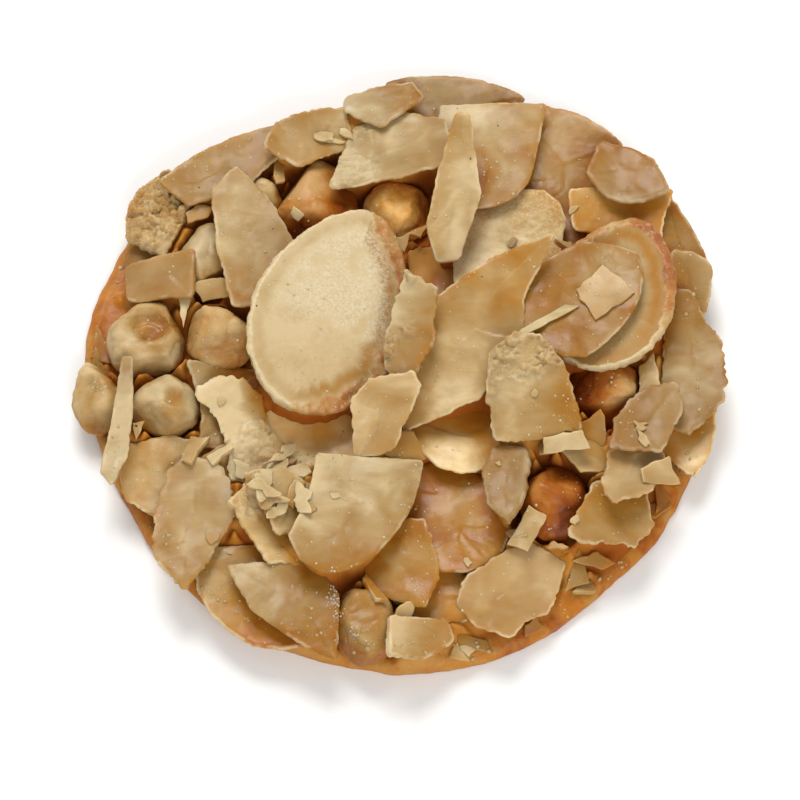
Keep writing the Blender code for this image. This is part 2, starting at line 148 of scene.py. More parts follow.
def smoothstep(values, low, high):
    """0 up to low, 1 from high on, and eased between."""
    return eased(np.clip((values - low) / (high - low), 0, 1))


# Meshes as arrays

# How fine the meshes of the almonds and nuts are
FINENESS = 0.17 * MM


def read(mesh, what):
    """A mesh's points, "co", or its normals, "normal", one to a row."""
    values = np.empty(len(mesh.vertices) * 3)
    mesh.vertices.foreach_get(what, values)
    return values.reshape(-1, 3)


def write(mesh, points):
    """Moves a mesh's points."""
    mesh.vertices.foreach_set("co", points.ravel())
    mesh.update()


def mark(mesh, name, values):
    """Keeps a number for each corner of a mesh, for its material to read."""
    layer = mesh.attributes.get(name) or mesh.attributes.new(name, "FLOAT", "POINT")
    layer.data.foreach_set("value", np.broadcast_to(values, len(mesh.vertices)).astype(np.float32))


def stand(name, data):
    """Puts a mesh, a light or a camera into the scene."""
    thing = bpy.data.objects.new(name, data)
    bpy.context.scene.collection.objects.link(thing)
    return thing


def remeshed(source, name, smoothing):
    """A fine even copy of a mesh, smoothed a number of times, with its points and normals."""
    guide = stand(name, source)
    remesh = guide.modifiers.new("even", "REMESH")
    remesh.mode = "VOXEL"
    remesh.voxel_size = FINENESS
    smooth = guide.modifiers.new("soft", "SMOOTH")
    smooth.iterations = smoothing
    smooth.factor = 0.5
    mesh = bpy.data.meshes.new_from_object(guide.evaluated_get(bpy.context.evaluated_depsgraph_get()))
    bpy.data.objects.remove(guide)
    mesh.name = name
    return mesh, read(mesh, "co"), read(mesh, "normal")


def place(name, mesh, finish, slot, *nodes):
    """Puts a finished piece on the cookie, in the place of CAD nodes."""
    mesh.materials.clear()
    mesh.materials.append(finish)
    mesh.shade_smooth()
    piece = stand(name, mesh)
    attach(piece, BODY)
    if nodes:
        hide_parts(*nodes)
    return piece


# Materials

class Wire:
    """A socket of a material. Sums and products of wires add Math nodes."""

    def __init__(self, finish, socket):
        self.finish = finish
        self.socket = socket

    def maths(self, operation, *values):
        return self.finish.add("ShaderNodeMath", {"operation": operation}, dict(enumerate(values)))

    def __add__(self, other):
        return self.maths("ADD", self, other)

    def __sub__(self, other):
        return self.maths("SUBTRACT", self, other)

    def __rsub__(self, other):
        return self.maths("SUBTRACT", other, self)

    def __mul__(self, other):
        return self.maths("MULTIPLY", self, other)

    __radd__ = __add__
    __rmul__ = __mul__

    def between(self, low, high):
        """0 at low, 1 at high, smooth between."""
        settings = {"interpolation_type": "SMOOTHSTEP"}
        return self.finish.add("ShaderNodeMapRange", settings, {0: self, 1: low, 2: high})

    def swing(self, amount):
        """How far a noise is from its middle, times an amount."""
        return (self - 0.5) * amount


class Finish:
    """A material, built up node by node on one Principled shader."""

    def __init__(self, name, **fixed):
        self.material = bpy.data.materials.new(name)
        self.material.use_nodes = True
        self.tree = self.material.node_tree
        self.shader = self.tree.nodes["Principled BSDF"]
        for socket, value in fixed.items():
            self.shader.inputs[socket.replace("_", " ")].default_value = value
        self.place = self.add("ShaderNodeTexCoord", {}, {}, "Object")

    def add(self, kind, settings, sockets, result=0):
        """Adds a node: its settings first, then a value or a wire for each socket."""
        node = self.tree.nodes.new(kind)
        for name, value in settings.items():
            if name == "stops":
                stops = node.color_ramp.elements
                while len(stops) < len(value):
                    stops.new(0.5)
                for stop, (position, colour) in zip(stops, value):
                    stop.position = position
                    stop.color = (*colour, 1)
            else:
                setattr(node, name, value)
        for key, value in sockets.items():
            if isinstance(value, Wire):
                self.tree.links.new(value.socket, node.inputs[key])
            elif isinstance(value, tuple) and len(node.inputs[key].default_value) == 4:
                node.inputs[key].default_value = (*value, 1)
            else:
                node.inputs[key].default_value = value
        return Wire(self, node.outputs[result])

    def marked(self, name):
        """A number that the mesh keeps for each corner."""
        return self.add("ShaderNodeAttribute", {"attribute_name": name}, {}, "Fac")

    def grain(self, size, detail=2.0, roughness=0.5, place=None, distortion=0.0):
        """Noise from 0 to 1 with features of a size in metres."""
        sockets = {"Vector": place or self.place, "Scale": 1 / size, "Detail": detail,
                   "Roughness": roughness, "Distortion": distortion}
        return self.add("ShaderNodeTexNoise", {}, sockets)

    def cells(self, size):
        """How far each place is from the middle of its cell."""
        sockets = {"Vector": self.place, "Scale": 1 / size}
        return self.add("ShaderNodeTexVoronoi", {"feature": "F1"}, sockets, "Distance")

    def stretched(self, x, y, z):
        """The place with each axis multiplied."""
        settings = {"operation": "MULTIPLY"}
        return self.add("ShaderNodeVectorMath", settings, {0: self.place, 1: (x, y, z)})

    def blend(self, amount, first, second, how="MIX"):
        """The first colour where the amount is 0, and the second where it is 1."""
        settings = {"data_type": "RGBA", "blend_type": how}
        return self.add("ShaderNodeMix", settings, {0: amount, 6: first, 7: second}, 2)

    def ramp(self, value, stops):
        """The colour at a value between stops."""
        return self.add("ShaderNodeValToRGB", {"stops": stops}, {0: value})

    def shaded(self, colour, shade):
        """A colour made darker or brighter."""
        grey = self.add("ShaderNodeCombineColor", {}, {0: shade, 1: shade, 2: shade})
        return self.blend(1.0, colour, grey, "MULTIPLY")

    def done(self, colour, roughness, relief, strength, depth, coat=None):
        """Links what varies over the surface to the shader and gives the material."""
        inputs = self.shader.inputs
        self.tree.links.new(colour.socket, inputs["Base Color"])
        self.tree.links.new(roughness.socket, inputs["Roughness"])
        sockets = {"Strength": strength, "Distance": depth, "Height": relief}
        bump = self.add("ShaderNodeBump", {}, sockets)
        self.tree.links.new(bump.socket, inputs["Normal"])
        if coat is not None:
            self.tree.links.new(coat.socket, inputs["Coat Weight"])
        return self.material


# Almond and nut colours from raw to well toasted, and at what toast each comes
CREAM = (0.50, 0.385, 0.212)
PALE = (0.39, 0.265, 0.114)
TAN = (0.335, 0.193, 0.059)
GOLDEN = (0.32, 0.15, 0.022)
HONEY = (0.31, 0.128, 0.012)
TOASTED = (0.29, 0.10, 0.008)
BLUSH = (0.34, 0.185, 0.066)
FROST = (0.54, 0.46, 0.29)
TOASTS = ((0.0, CREAM), (0.25, PALE), (0.5, TAN), (0.74, GOLDEN), (0.88, HONEY), (1.0, TOASTED))

# The frost on the cut face of an almond half, and its skin from bare to dark brown
FACE_FROST = (0.62, 0.55, 0.40)
SKINS = ((0.0, (0.54, 0.44, 0.26)), (0.3, (0.43, 0.28, 0.11)), (0.55, (0.37, 0.17, 0.04)),
         (0.8, (0.31, 0.10, 0.014)), (1.0, (0.19, 0.05, 0.007)))
# Nuts with their skin, and the dust on them
NUT_BROWNS = ((0.0, (0.44, 0.26, 0.10)), (0.35, (0.40, 0.17, 0.035)), (0.62, (0.30, 0.085, 0.008)),
              (0.88, (0.22, 0.05, 0.004)), (1.0, (0.15, 0.03, 0.003)))
NUT_DUST = (0.44, 0.24, 0.09)

# Caramel: bare, covered, painted shade for the hollows, and in the crumbly patches along the rim
AMBER = (0.38, 0.13, 0.014)
BRIGHT_AMBER = (0.48, 0.17, 0.014)
RED_AMBER = (0.27, 0.055, 0.006)
# Painted shade, laid over the caramel in the hollows
PAINTED_HOLLOW_SHADE = (0.29, 0.068, 0.006)
TOFFEE = (0.40, 0.205, 0.048)
GLAZE = (0.42, 0.168, 0.022)
RIM_CRUST = (0.42, 0.25, 0.08)

# Grains from their lightest to their darkest
CRUMB_TONES = ((0.58, 0.50, 0.33), (0.42, 0.31, 0.14), (0.30, 0.14, 0.03))
SUGAR_TONES = ((0.56, 0.42, 0.30), (0.46, 0.32, 0.22), (0.34, 0.18, 0.10))
SPECK_TONES = ((0.05, 0.02, 0.01), (0.03, 0.012, 0.006), (0.02, 0.008, 0.004))


def almond_flesh(name, gloss):
    """Baked almond: waxy, in tones that follow how toasted each place is, thinly glazed."""
    finish = Finish(name, Subsurface_Weight=0.5, Subsurface_Scale=0.0013,
                    Subsurface_Radius=(1.0, 0.66, 0.33), Specular_IOR_Level=0.15, Coat_Roughness=0.24)
    toast = finish.marked("toast")
    rim = finish.marked("rim")
    frost = finish.marked("frost")
    drift = finish.grain(5.0 * MM, 2.0, 0.55, distortion=0.5)
    streaks = finish.grain(0.9 * MM, 3.0, 0.6, finish.stretched(0.3, 1.0, 1.0), 0.8)
    clouds = finish.grain(1.6 * MM, 3.0, 0.62, distortion=1.2)
    level = toast + drift.swing(1.25) + streaks.swing(0.28) + clouds.swing(0.35) - 0.10
    colour = finish.ramp(level, TOASTS)
    colour = finish.blend(finish.marked("blush") * 0.5, colour, BLUSH)
    # Pale edges where the flakes broke: partly their own paler flesh, partly painted highlight.
    cut = rim.between(0.6, 0.9) * finish.grain(2.4 * MM, 3.0).between(0.46, 0.60)
    colour = finish.blend(cut * 0.55, colour, FROST)
    sugar = finish.grain(0.34 * MM, 3.0, 0.7, distortion=1.0).between(0.40, 0.66)
    colour = finish.blend(sugar * frost * 0.4, colour, FROST)
    flecks = 1 - finish.cells(1.3 * MM).between(0.05, 0.10)
    colour = finish.blend(flecks * 0.5, colour, FROST)
    # The brightness is partly the piece's own tone and partly painted light and shade.
    colour = finish.shaded(colour, finish.marked("shade") + clouds.swing(0.3) - drift.swing(0.35))
    wet = finish.grain(2.6 * MM, 2.0, 0.5).between(0.40, 0.60)
    roughness = 0.55 - gloss * 0.2 + clouds.swing(0.3) + frost * 0.15
    fine = finish.grain(0.16 * MM, 3.0, 0.6)
    relief = fine * 0.5 + clouds * 0.5 + streaks * 0.6 + sugar * frost * 0.8
    return finish.done(colour, roughness, relief, 0.4, 0.08 * MM, wet * gloss * 0.4)


def cut_almond():
    """An almond half: a frosted cream face inside a browned, creased skin."""
    finish = Finish("cut_almond_and_skin", Subsurface_Weight=0.35, Subsurface_Scale=0.0015,
                    Subsurface_Radius=(1.0, 0.6, 0.3), Specular_IOR_Level=0.3, Coat_Roughness=0.3)
    skin = finish.marked("skin")
    toast = finish.marked("toast")
    drift = finish.grain(5.0 * MM, 2.0, 0.5, distortion=0.4)
    clouds = finish.grain(1.1 * MM, 4.0, 0.65, distortion=1.4)
    frost = finish.grain(0.28 * MM, 4.0, 0.75, distortion=0.5)
    frosted = finish.marked("frost") * finish.grain(3.0 * MM, 2.0, 0.5).between(0.32, 0.5)
    face = finish.ramp(toast + drift.swing(0.5) + clouds.swing(0.25), TOASTS)
    face = finish.blend(frost.between(0.36, 0.64) * frosted * 0.65, face, FACE_FROST)
    browned = finish.ramp(finish.marked("brown") + clouds.swing(0.7) + drift.swing(0.4), SKINS)
    crust = finish.grain(0.5 * MM, 4.0, 0.7, distortion=0.8).between(0.56, 0.66)
    browned = finish.blend(crust * 0.6, browned, FROST)
    colour = finish.shaded(finish.blend(skin, face, browned), finish.marked("shade"))
    roughness = 0.68 - skin * 0.15 + clouds.swing(0.2)
    relief = frost * 0.7 * frosted + clouds * 0.4 + crust * skin * 0.8
    return finish.done(colour, roughness, relief, 0.6, 0.1 * MM, skin * 0.2)


def toasted_nut():
    """Skin-brown pieces of nut: orange-brown, darker in their creases, glazed."""
    finish = Finish("toasted_nut", Subsurface_Weight=0.25, Subsurface_Scale=0.0012,
                    Subsurface_Radius=(1.0, 0.4, 0.15), Specular_IOR_Level=0.14, Coat_Roughness=0.25)
    drift = finish.grain(3.4 * MM, 2.0, 0.55, distortion=0.6)
    clouds = finish.grain(1.0 * MM, 3.0, 0.65, distortion=1.0)
    colour = finish.ramp(finish.marked("toast") + drift.swing(0.9) + clouds.swing(0.45), NUT_BROWNS)
    dust = finish.grain(0.35 * MM, 3.0, 0.6).between(0.64, 0.72)
    colour = finish.blend(dust * 0.3, colour, NUT_DUST)
    roughness = 0.42 + clouds.swing(0.3)
    relief = clouds * 0.8 + finish.grain(0.25 * MM, 3.0) * 0.3 + dust * 0.3
    return finish.done(colour, roughness, relief, 0.6, 0.12 * MM, drift.between(0.35, 0.65) * 0.15)


def set_caramel():
    """Caramel: orange and glossy where it is bare, toffee-coloured along the rim, and painted dark
    red-brown down in the hollows, as painted shade."""
    finish = Finish("set_caramel", Subsurface_Weight=0.15, Subsurface_Scale=0.0012,
                    Subsurface_Radius=(1.0, 0.38, 0.1), Specular_IOR_Level=0.12, Coat_Roughness=0.2)
    hollow = finish.marked("hollow")
    edge = finish.marked("edge")
    bare = finish.marked("bare")
    drift = finish.grain(4.5 * MM, 2.0, 0.55, distortion=0.8)
    clouds = finish.grain(1.4 * MM, 3.0, 0.6, distortion=1.2)
    covered = ((0.30, TOFFEE), (0.50, GLAZE), (0.70, AMBER))
    shown = ((0.30, BRIGHT_AMBER), (0.50, AMBER), (0.68, RED_AMBER))
    colour = finish.ramp(drift * 0.7 + clouds * 0.3, covered)
    glaze = finish.ramp(drift * 0.6 + clouds * 0.4, shown)
    colour = finish.blend(bare.between(0.1, 0.7), colour, glaze)
    crumbly = finish.grain(1.8 * MM, 4.0, 0.65, distortion=0.6).between(0.38, 0.66)
    colour = finish.blend(edge * crumbly * (1 - bare * 0.6) * 0.6, colour, RIM_CRUST)
    # Painted shade: the hollows are darkened to a dark red-brown.
    colour = finish.blend(hollow.between(0.3, 1.0) * 0.85, colour, PAINTED_HOLLOW_SHADE)
    roughness = 0.48 - bare * 0.08 + clouds.swing(0.2) + hollow * 0.3
    fine = finish.grain(0.3 * MM, 3.0, 0.6)
    relief = clouds * 0.7 + drift * 0.5 + crumbly * edge * 0.6 + fine * 0.15
    return finish.done(colour, roughness, relief, 0.5, 0.14 * MM, bare * 0.06)


def crumb(name, tones):
    """Tiny grains, in three tones from light to dark."""
    finish = Finish(name, Subsurface_Weight=0.4, Subsurface_Scale=0.0005,
                    Subsurface_Radius=(1.0, 0.7, 0.4), Specular_IOR_Level=0.4)
    clouds = finish.grain(0.6 * MM, 2.0, 0.6)
    tone = finish.ramp(finish.marked("toast") + clouds.swing(0.4), tuple(zip((0.0, 0.5, 1.0), tones)))
    fine = finish.grain(0.12 * MM, 2.0)
    return finish.done(tone, 0.5 + clouds.swing(0.3), fine + clouds, 0.4, 0.03 * MM)


# How each almond and nut looks: how toasted it is from 0 raw to 1 dark, how much more toasted it
# gets towards a compass angle in degrees from +X, how pinkish, how bright (partly its own tone,
# partly painted light and shade: pieces lying in shade are made brighter, others darker),
# and how torn its edge
Look = namedtuple("Look", "toast warm towards blush shade torn", defaults=(0.0, 270, 0.0, 1.0, 0.5))
FLAKES = {
    "flake_rim_back_left": Look(0.44, 0.10, 270, shade=1.05),
    "flake_rim_back": Look(0.62, 0.12, 300, shade=0.76, torn=0.2),
    "flake_wide_back_right": Look(0.72, 0.08, 330, shade=0.92, torn=0.2),
    "flake_rim_back_right": Look(0.78, 0.08, 270, shade=0.8),
    "flake_rim_right": Look(0.48, 0.15, 180, blush=0.3, shade=0.9),
    "flake_rim_right_low": Look(0.38, 0.15, 90, shade=1.25, torn=0.6),
    "flake_front_right": Look(0.60, 0.12, 120, shade=0.95, torn=1.0),
    "flake_rim_front": Look(0.38, 0.12, 0, blush=0.5),
    "flake_smooth_front_left": Look(0.66, 0.26, 330, shade=1.1, torn=0.1),
    "flake_left_low": Look(0.38, 0.04, 0, blush=0.2, shade=1.12),
    "flake_on_edge_left": Look(0.12, 0.0, shade=0.86, torn=0.2),
    "flake_block_left": Look(0.50, 0.08, 0, blush=0.8, shade=0.88, torn=0.4),
    "flake_long_back_left": Look(0.60, 0.05, 180, shade=0.85, torn=0.4),
    "flake_tan_left": Look(0.70, 0.15, 0, shade=0.75),
    "flake_under_half": Look(0.05, 0.10, 90, shade=1.9, torn=0.3),
    "flake_shaded_centre": Look(0.52, 0.10, 180, blush=0.5, shade=1.5),
    "flake_inner_back_left": Look(0.50, 0.12, 270, shade=0.9),
    "flake_beside_large_half": Look(0.44, -0.10, 90, shade=0.9, torn=0.4),
    "flake_low_back_right": Look(0.76, 0.08, 270, shade=1.3),
    "flake_crumpled_right": Look(0.62, 0.08, 90, shade=0.78, torn=0.9),
    "flake_low_front": Look(0.62, 0.05, 90, blush=0.2, shade=1.35),
    "flake_long_front_left": Look(0.60, 0.14, 330, shade=0.86, torn=0.3),
    "flake_torn_front_left": Look(0.46, -0.10, 20, shade=0.9, torn=1.0),
    "flake_strips_front_left": Look(0.30, 0.12, 330, shade=1.2, torn=0.9),
    "flake_broad_front": Look(0.80, 0.10, 300, torn=0.1),
    "flake_half_round": Look(0.30, -0.14, 200, shade=1.35, torn=0.4),
    "flake_thick_front": Look(0.68, 0.08, 180, blush=0.2, shade=0.75, torn=0.4),
    "flake_grainy": Look(0.12, 0.12, 0, shade=1.3, torn=0.3),
    "flake_square_back": Look(0.42, 0.16, 310, shade=0.92, torn=0.2),
    "flake_torn_back": Look(0.34, 0.08, 0, shade=0.88, torn=0.7),
    "flake_rim_back_small": Look(0.54, 0.30, 0, shade=0.78, torn=0.4),
    "flake_curled_back_right": Look(0.74, -0.14, 260, shade=0.8, torn=0.4),
    "flake_torn_pale": Look(0.24, 0.24, 0, torn=1.0),
    "flake_torn_small": Look(0.28, 0.12, 0, torn=0.8),
    "flake_golden_front": Look(0.66, 0.08, 330, torn=0.5),
    "flake_wide_front": Look(0.42, 0.05, 180, blush=0.7, torn=0.6),
    "flake_torn_right_lower": Look(0.34, -0.08, 0, blush=0.6, shade=0.92, torn=1.0),
    "flake_golden_right": Look(0.82, 0.10, 180, shade=0.84, torn=0.1),
    "flake_spindle": Look(0.30, -0.12, 0, torn=0.2),
    "flake_egg_front": Look(0.42, 0.14, 290, shade=0.9, torn=0.15),
    "flake_torn_right_upper": Look(0.66, -0.10, 0, blush=0.7, shade=0.78, torn=0.8),
    "flake_large_golden": Look(0.50, 0.16, 50, shade=1.02, torn=0.3),
    "flake_crumbly_right": Look(0.48, 0.18, 0, shade=0.95, torn=1.0),
    "flake_crumbly_ridge": Look(0.50, 0.20, 330, shade=0.88, torn=1.0),
    "flake_centre_small": Look(0.32, 0.08, 300, blush=0.3, shade=1.05, torn=0.7),
}
NUTS = {
    "nut_hollow_half": Look(0.38, 0.14, 120),
    "nut_round_left": Look(0.34, 0.10, 180, shade=0.95),
    "nut_rim_left": Look(0.42, 0.16, 0, shade=1.05),
    "nut_long_left": Look(0.30, 0.14, 250, shade=0.9),
    "nut_round_centre_left": Look(0.36, 0.16, 210, blush=0.3, shade=1.12),
    "nut_golden_back": Look(0.58, 0.08, 0, shade=1.85),
    "nut_sliver_back": Look(0.38, 0.08, 0, shade=1.05),
    "nut_block_front": Look(0.66, 0.10, 0, shade=0.9),
}
TOASTED_NUTS = {
    "nut_orange_back": Look(0.28, 0.20, 290),
    "nut_orange_right": Look(0.36, 0.16, 200),
    "nut_orange_front": Look(0.70, 0.24, 340),
}
# The dents in the nuts: where from the nut's middle, how wide and how deep, in millimetres
HOLLOWS = {
    "nut_hollow_half": (0.4, 0.9, 2.1, 1.3),
    "nut_round_left": (1.2, -0.4, 1.1, 0.5),
}
# How rough the crumbly flakes are, on which side, and from how far across
CRUMBLY = {
    "flake_crumbly_right": (0.5, 120, 0.1),
    "flake_crumbly_ridge": (0.5, 170, 0.1),
    "flake_rim_back_left": (0.7, 120, -0.9),
    "flake_torn_pale": (0.3, 270, 0.0),
    "flake_torn_back": (0.3, 200, 0.1),
    "flake_strips_front_left": (0.3, 90, 0.0),
}

# How much wider a baked flake is than its solid, so that flakes lap over their neighbours
SPREAD = 0.55 * MM
# How far a baked flake may rise over the highest solid
RISE = 0.2 * MM
# How much of its thickness a flake loses at its edge
THINNING = 0.62
# A face that looks up more than this is on top, and a corner that does so less is on the edge
UPWARD = 0.8
SIDEWAYS = 0.45
# Nuts: how much bigger than their solids, how many flat cuts, how deep and how fully pressed,
# how often softened, and how low they reach
NUT_GROWTH = 0.95 * MM
NUT_CUTS = 7
CUT_DEPTH = 0.30
PRESSED = 0.92
SOFTENINGS = 20
NUT_FLOOR = 1.0 * MM
# The way across an almond half from its bare end to its frosted end
FROST_WAY = (0.35, 0.94, 0)


def heading(degrees):
    """The two parts of a step towards a compass angle."""
    return math.cos(math.radians(degrees)), math.sin(math.radians(degrees))


def lie_of(mesh):
    """The middle of a thin piece, and the way its upper face looks."""
    up = Vector((0, 0, 0))
    for face in mesh.polygons:
        if face.normal.z > UPWARD:
            up += face.normal * face.area
    points = read(mesh, "co")
    return points.mean(axis=0), np.array(up.normalized())


def edge_of(points, normals, up):
    """For each corner: how far inside the outline it lies, the way out, and the nearest spot
    on the outline."""
    flat = points - (points @ up)[:, None] * up
    sideways = normals - (normals @ up)[:, None] * up
    on_edge = np.nonzero(np.abs(normals @ up) < SIDEWAYS)[0]
    tree = KDTree(len(on_edge))
    for index in on_edge:
        tree.insert(flat[index], int(index))
    tree.balance()
    nearest = np.array([tree.find(spot)[1] for spot in flat])
    inside = np.linalg.norm(flat - flat[nearest], axis=1)
    out = sideways[nearest]
    out /= np.linalg.norm(out, axis=1)[:, None]
    return inside, out, flat[nearest]


def colour_marks(mesh, points, looks, extra=0.0):
    """Marks how toasted, blushed and bright a piece is, the brightness partly painted light and shade."""
    x, y = heading(looks.towards)
    along = points[:, 0] * x + points[:, 1] * y
    side = (along - along.mean()) / along.std() / 1.6
    mark(mesh, "toast", looks.toast + looks.warm * 1.6 * np.clip(side, -1, 1) + extra)
    mark(mesh, "blush", looks.blush)
    mark(mesh, "shade", looks.shade)


def tear(points, inside, out, spots, torn, seed):
    """Pulls the outline in and out in uneven bites."""
    bites = rough_noise(spots, 2.6 * MM, seed, 4) * 0.42 * torn
    teeth = -np.abs(rough_noise(spots, 0.8 * MM, seed + 5, 3)) * (0.08 + 0.22 * torn)
    fade = np.clip(1 - inside / (1.5 * MM), 0, 1) ** 2
    return points + out * ((bites + teeth + 0.10) * MM * fade)[:, None]


def crumbly(node, points, flat, middle, seed):
    """Where a flake is crumbly, and how far its crumbs stand up there."""
    amount, towards, start = CRUMBLY[node]
    x, y = heading(towards)
    offset = (points - middle) / np.abs(points - middle).max()
    ragged = 0.5 * rough_noise(flat, 2.0 * MM, seed + 31, 3)
    here = smoothstep(offset[:, 0] * x + offset[:, 1] * y + ragged, start, start + 0.4)
    near, next_near, own = lumps(flat * (1.0, 1.3, 1.0), 1.1 * MM, seed + 19)
    fine = rough_noise(points, 0.7 * MM, seed + 23, 3) * 0.6
    heap = np.clip(next_near - near, 0, 0.35) + own * 0.6 + 0.4 + fine
    return here, amount * heap * here


def bake_flake(node, looks, seed):
    """A flake: its edge torn and thinned, its sheet gently waved, its faces pitted."""
    source = frame["nodes"][node].data
    middle, up = lie_of(source)
    mesh, points, normals = remeshed(source, node + "_baked", 1)
    inside, out, spots = edge_of(points, normals, up)
    height = (points - middle) @ up
    facing = normals @ up
    thinned = (height.max() - height) * THINNING * np.exp(-inside / (1.4 * MM))
    across = points - middle - height[:, None] * up
    points = points + across * (SPREAD / np.linalg.norm(across, axis=1).mean())
    points = tear(points, inside, out, spots, looks.torn, seed)
    flat = points - ((points - middle) @ up)[:, None] * up
    waves = rough_noise(flat, 6.0 * MM, seed + 11, 2) * 0.30
    ripples = rough_noise(flat, 2.2 * MM, seed + 13, 2) * 0.06
    pits = rough_noise(points, 0.8 * MM, seed + 17, 3) * 0.022
    frost = 0.0
    if node in CRUMBLY:
        frost, rough = crumbly(node, points, flat, middle, seed)
        pits = pits + rough * smoothstep(facing, 0.0, 0.7)
    if node == "flake_grainy":
        pits = pits + 0.05 * rough_noise(points, 0.45 * MM, seed + 29, 2)
        frost = 1.0
    curl = rough_noise(spots, 7.0 * MM, seed + 41, 2) * np.exp(-inside / (3.2 * MM)) * 0.40
    rise = (waves + ripples + curl) * MM + pits * MM * np.sign(facing) + thinned
    points = points + rise[:, None] * up
    points[:, 2] -= max(0.0, points[:, 2].max() - CAD_BOX[1].z - RISE)
    write(mesh, points)
    mark(mesh, "rim", np.exp(-inside / (0.5 * MM)))
    mark(mesh, "frost", frost)
    sides = smoothstep(rough_noise(spots, 7.0 * MM, seed + 37, 2), -0.1, 0.5)
    extra = (0.3 * sides - 0.04) * np.exp(-inside / (1.3 * MM)) * (1 - looks.torn * 0.6)
    colour_marks(mesh, points, looks, extra)
    slot = slot_of(node)
    return place(node + "_baked", mesh, FLESH[slot], slot, node)


def slot_of(node):
    """The material slot that the CAD gives a node."""
    for part in frame["record"]["subparts"]:
        if part["node"] == node:
            return part["material_slot"]


def softened(mesh, points):
    """Points moved towards the middle of their neighbours, again and again."""
    ends = np.empty(len(mesh.edges) * 2, np.int32)
    mesh.edges.foreach_get("vertices", ends)
    first, second = ends.reshape(-1, 2).T
    count = len(points)
    links = np.bincount(ends, minlength=count)[:, None]
    for _ in range(SOFTENINGS):
        total = [np.bincount(first, points[second, axis], count)
                 + np.bincount(second, points[first, axis], count) for axis in range(3)]
        points = (points + np.stack(total, 1) / links) / 2
    return points


def chopped(points, seed):
    """Flat cuts on a lump: the corners beyond a few planes are pressed down onto them."""
    dice = np.random.default_rng(seed)
    for _ in range(NUT_CUTS):
        away = dice.normal(0, 1, 3) * (1, 1, 0.7)
        away[2] = abs(away[2])
        away /= np.linalg.norm(away)
        reach = (points - points.mean(axis=0)) @ away
        beyond = np.maximum(0, reach - reach.max() * (1 - dice.uniform(0.5, 1.2) * CUT_DEPTH))
        points = points - PRESSED * beyond[:, None] * away
    return points


def bake_nut(node, looks, seed, finish):
    """A chopped piece of nut: uneven, with flat cuts and shallow creases."""
    mesh, points, normals = remeshed(frame["nodes"][node].data, node + "_baked", 3)
    points = softened(mesh, chopped(points + normals * NUT_GROWTH, seed))
    swell = rough_noise(points, 3.0 * MM, seed, 3) * 0.22
    creases = -0.12 * (1 - np.abs(rough_noise(points, 2.4 * MM, seed + 3, 2))) ** 6
    pits = rough_noise(points, 0.8 * MM, seed + 9, 3) * 0.04
    hollow = 0.0
    if node in HOLLOWS:
        x, y, reach, depth = HOLLOWS[node]
        middle = (points.max(axis=0) + points.min(axis=0)) / 2
        offset = points - middle - (x * MM, y * MM, 0)
        away = np.hypot(offset[:, 0], offset[:, 1] * 1.3) / (reach * MM)
        hollow = np.exp(-away ** 4) * smoothstep(normals[:, 2], 0.1, 0.6)
        swell = swell - depth * hollow
    points = points + normals * ((swell + creases + pits) * MM)[:, None]
    points[:, 2] = np.maximum(points[:, 2], NUT_FLOOR)
    write(mesh, points)
    mark(mesh, "rim", 0.0)
    mark(mesh, "frost", 0.3)
    mottled = rough_noise(points, 2.6 * MM, seed + 21, 2) * 0.28
    colour_marks(mesh, points, looks, mottled - creases * 0.8 + hollow * 0.35)
    return place(node + "_baked", mesh, finish, slot_of(node), node)


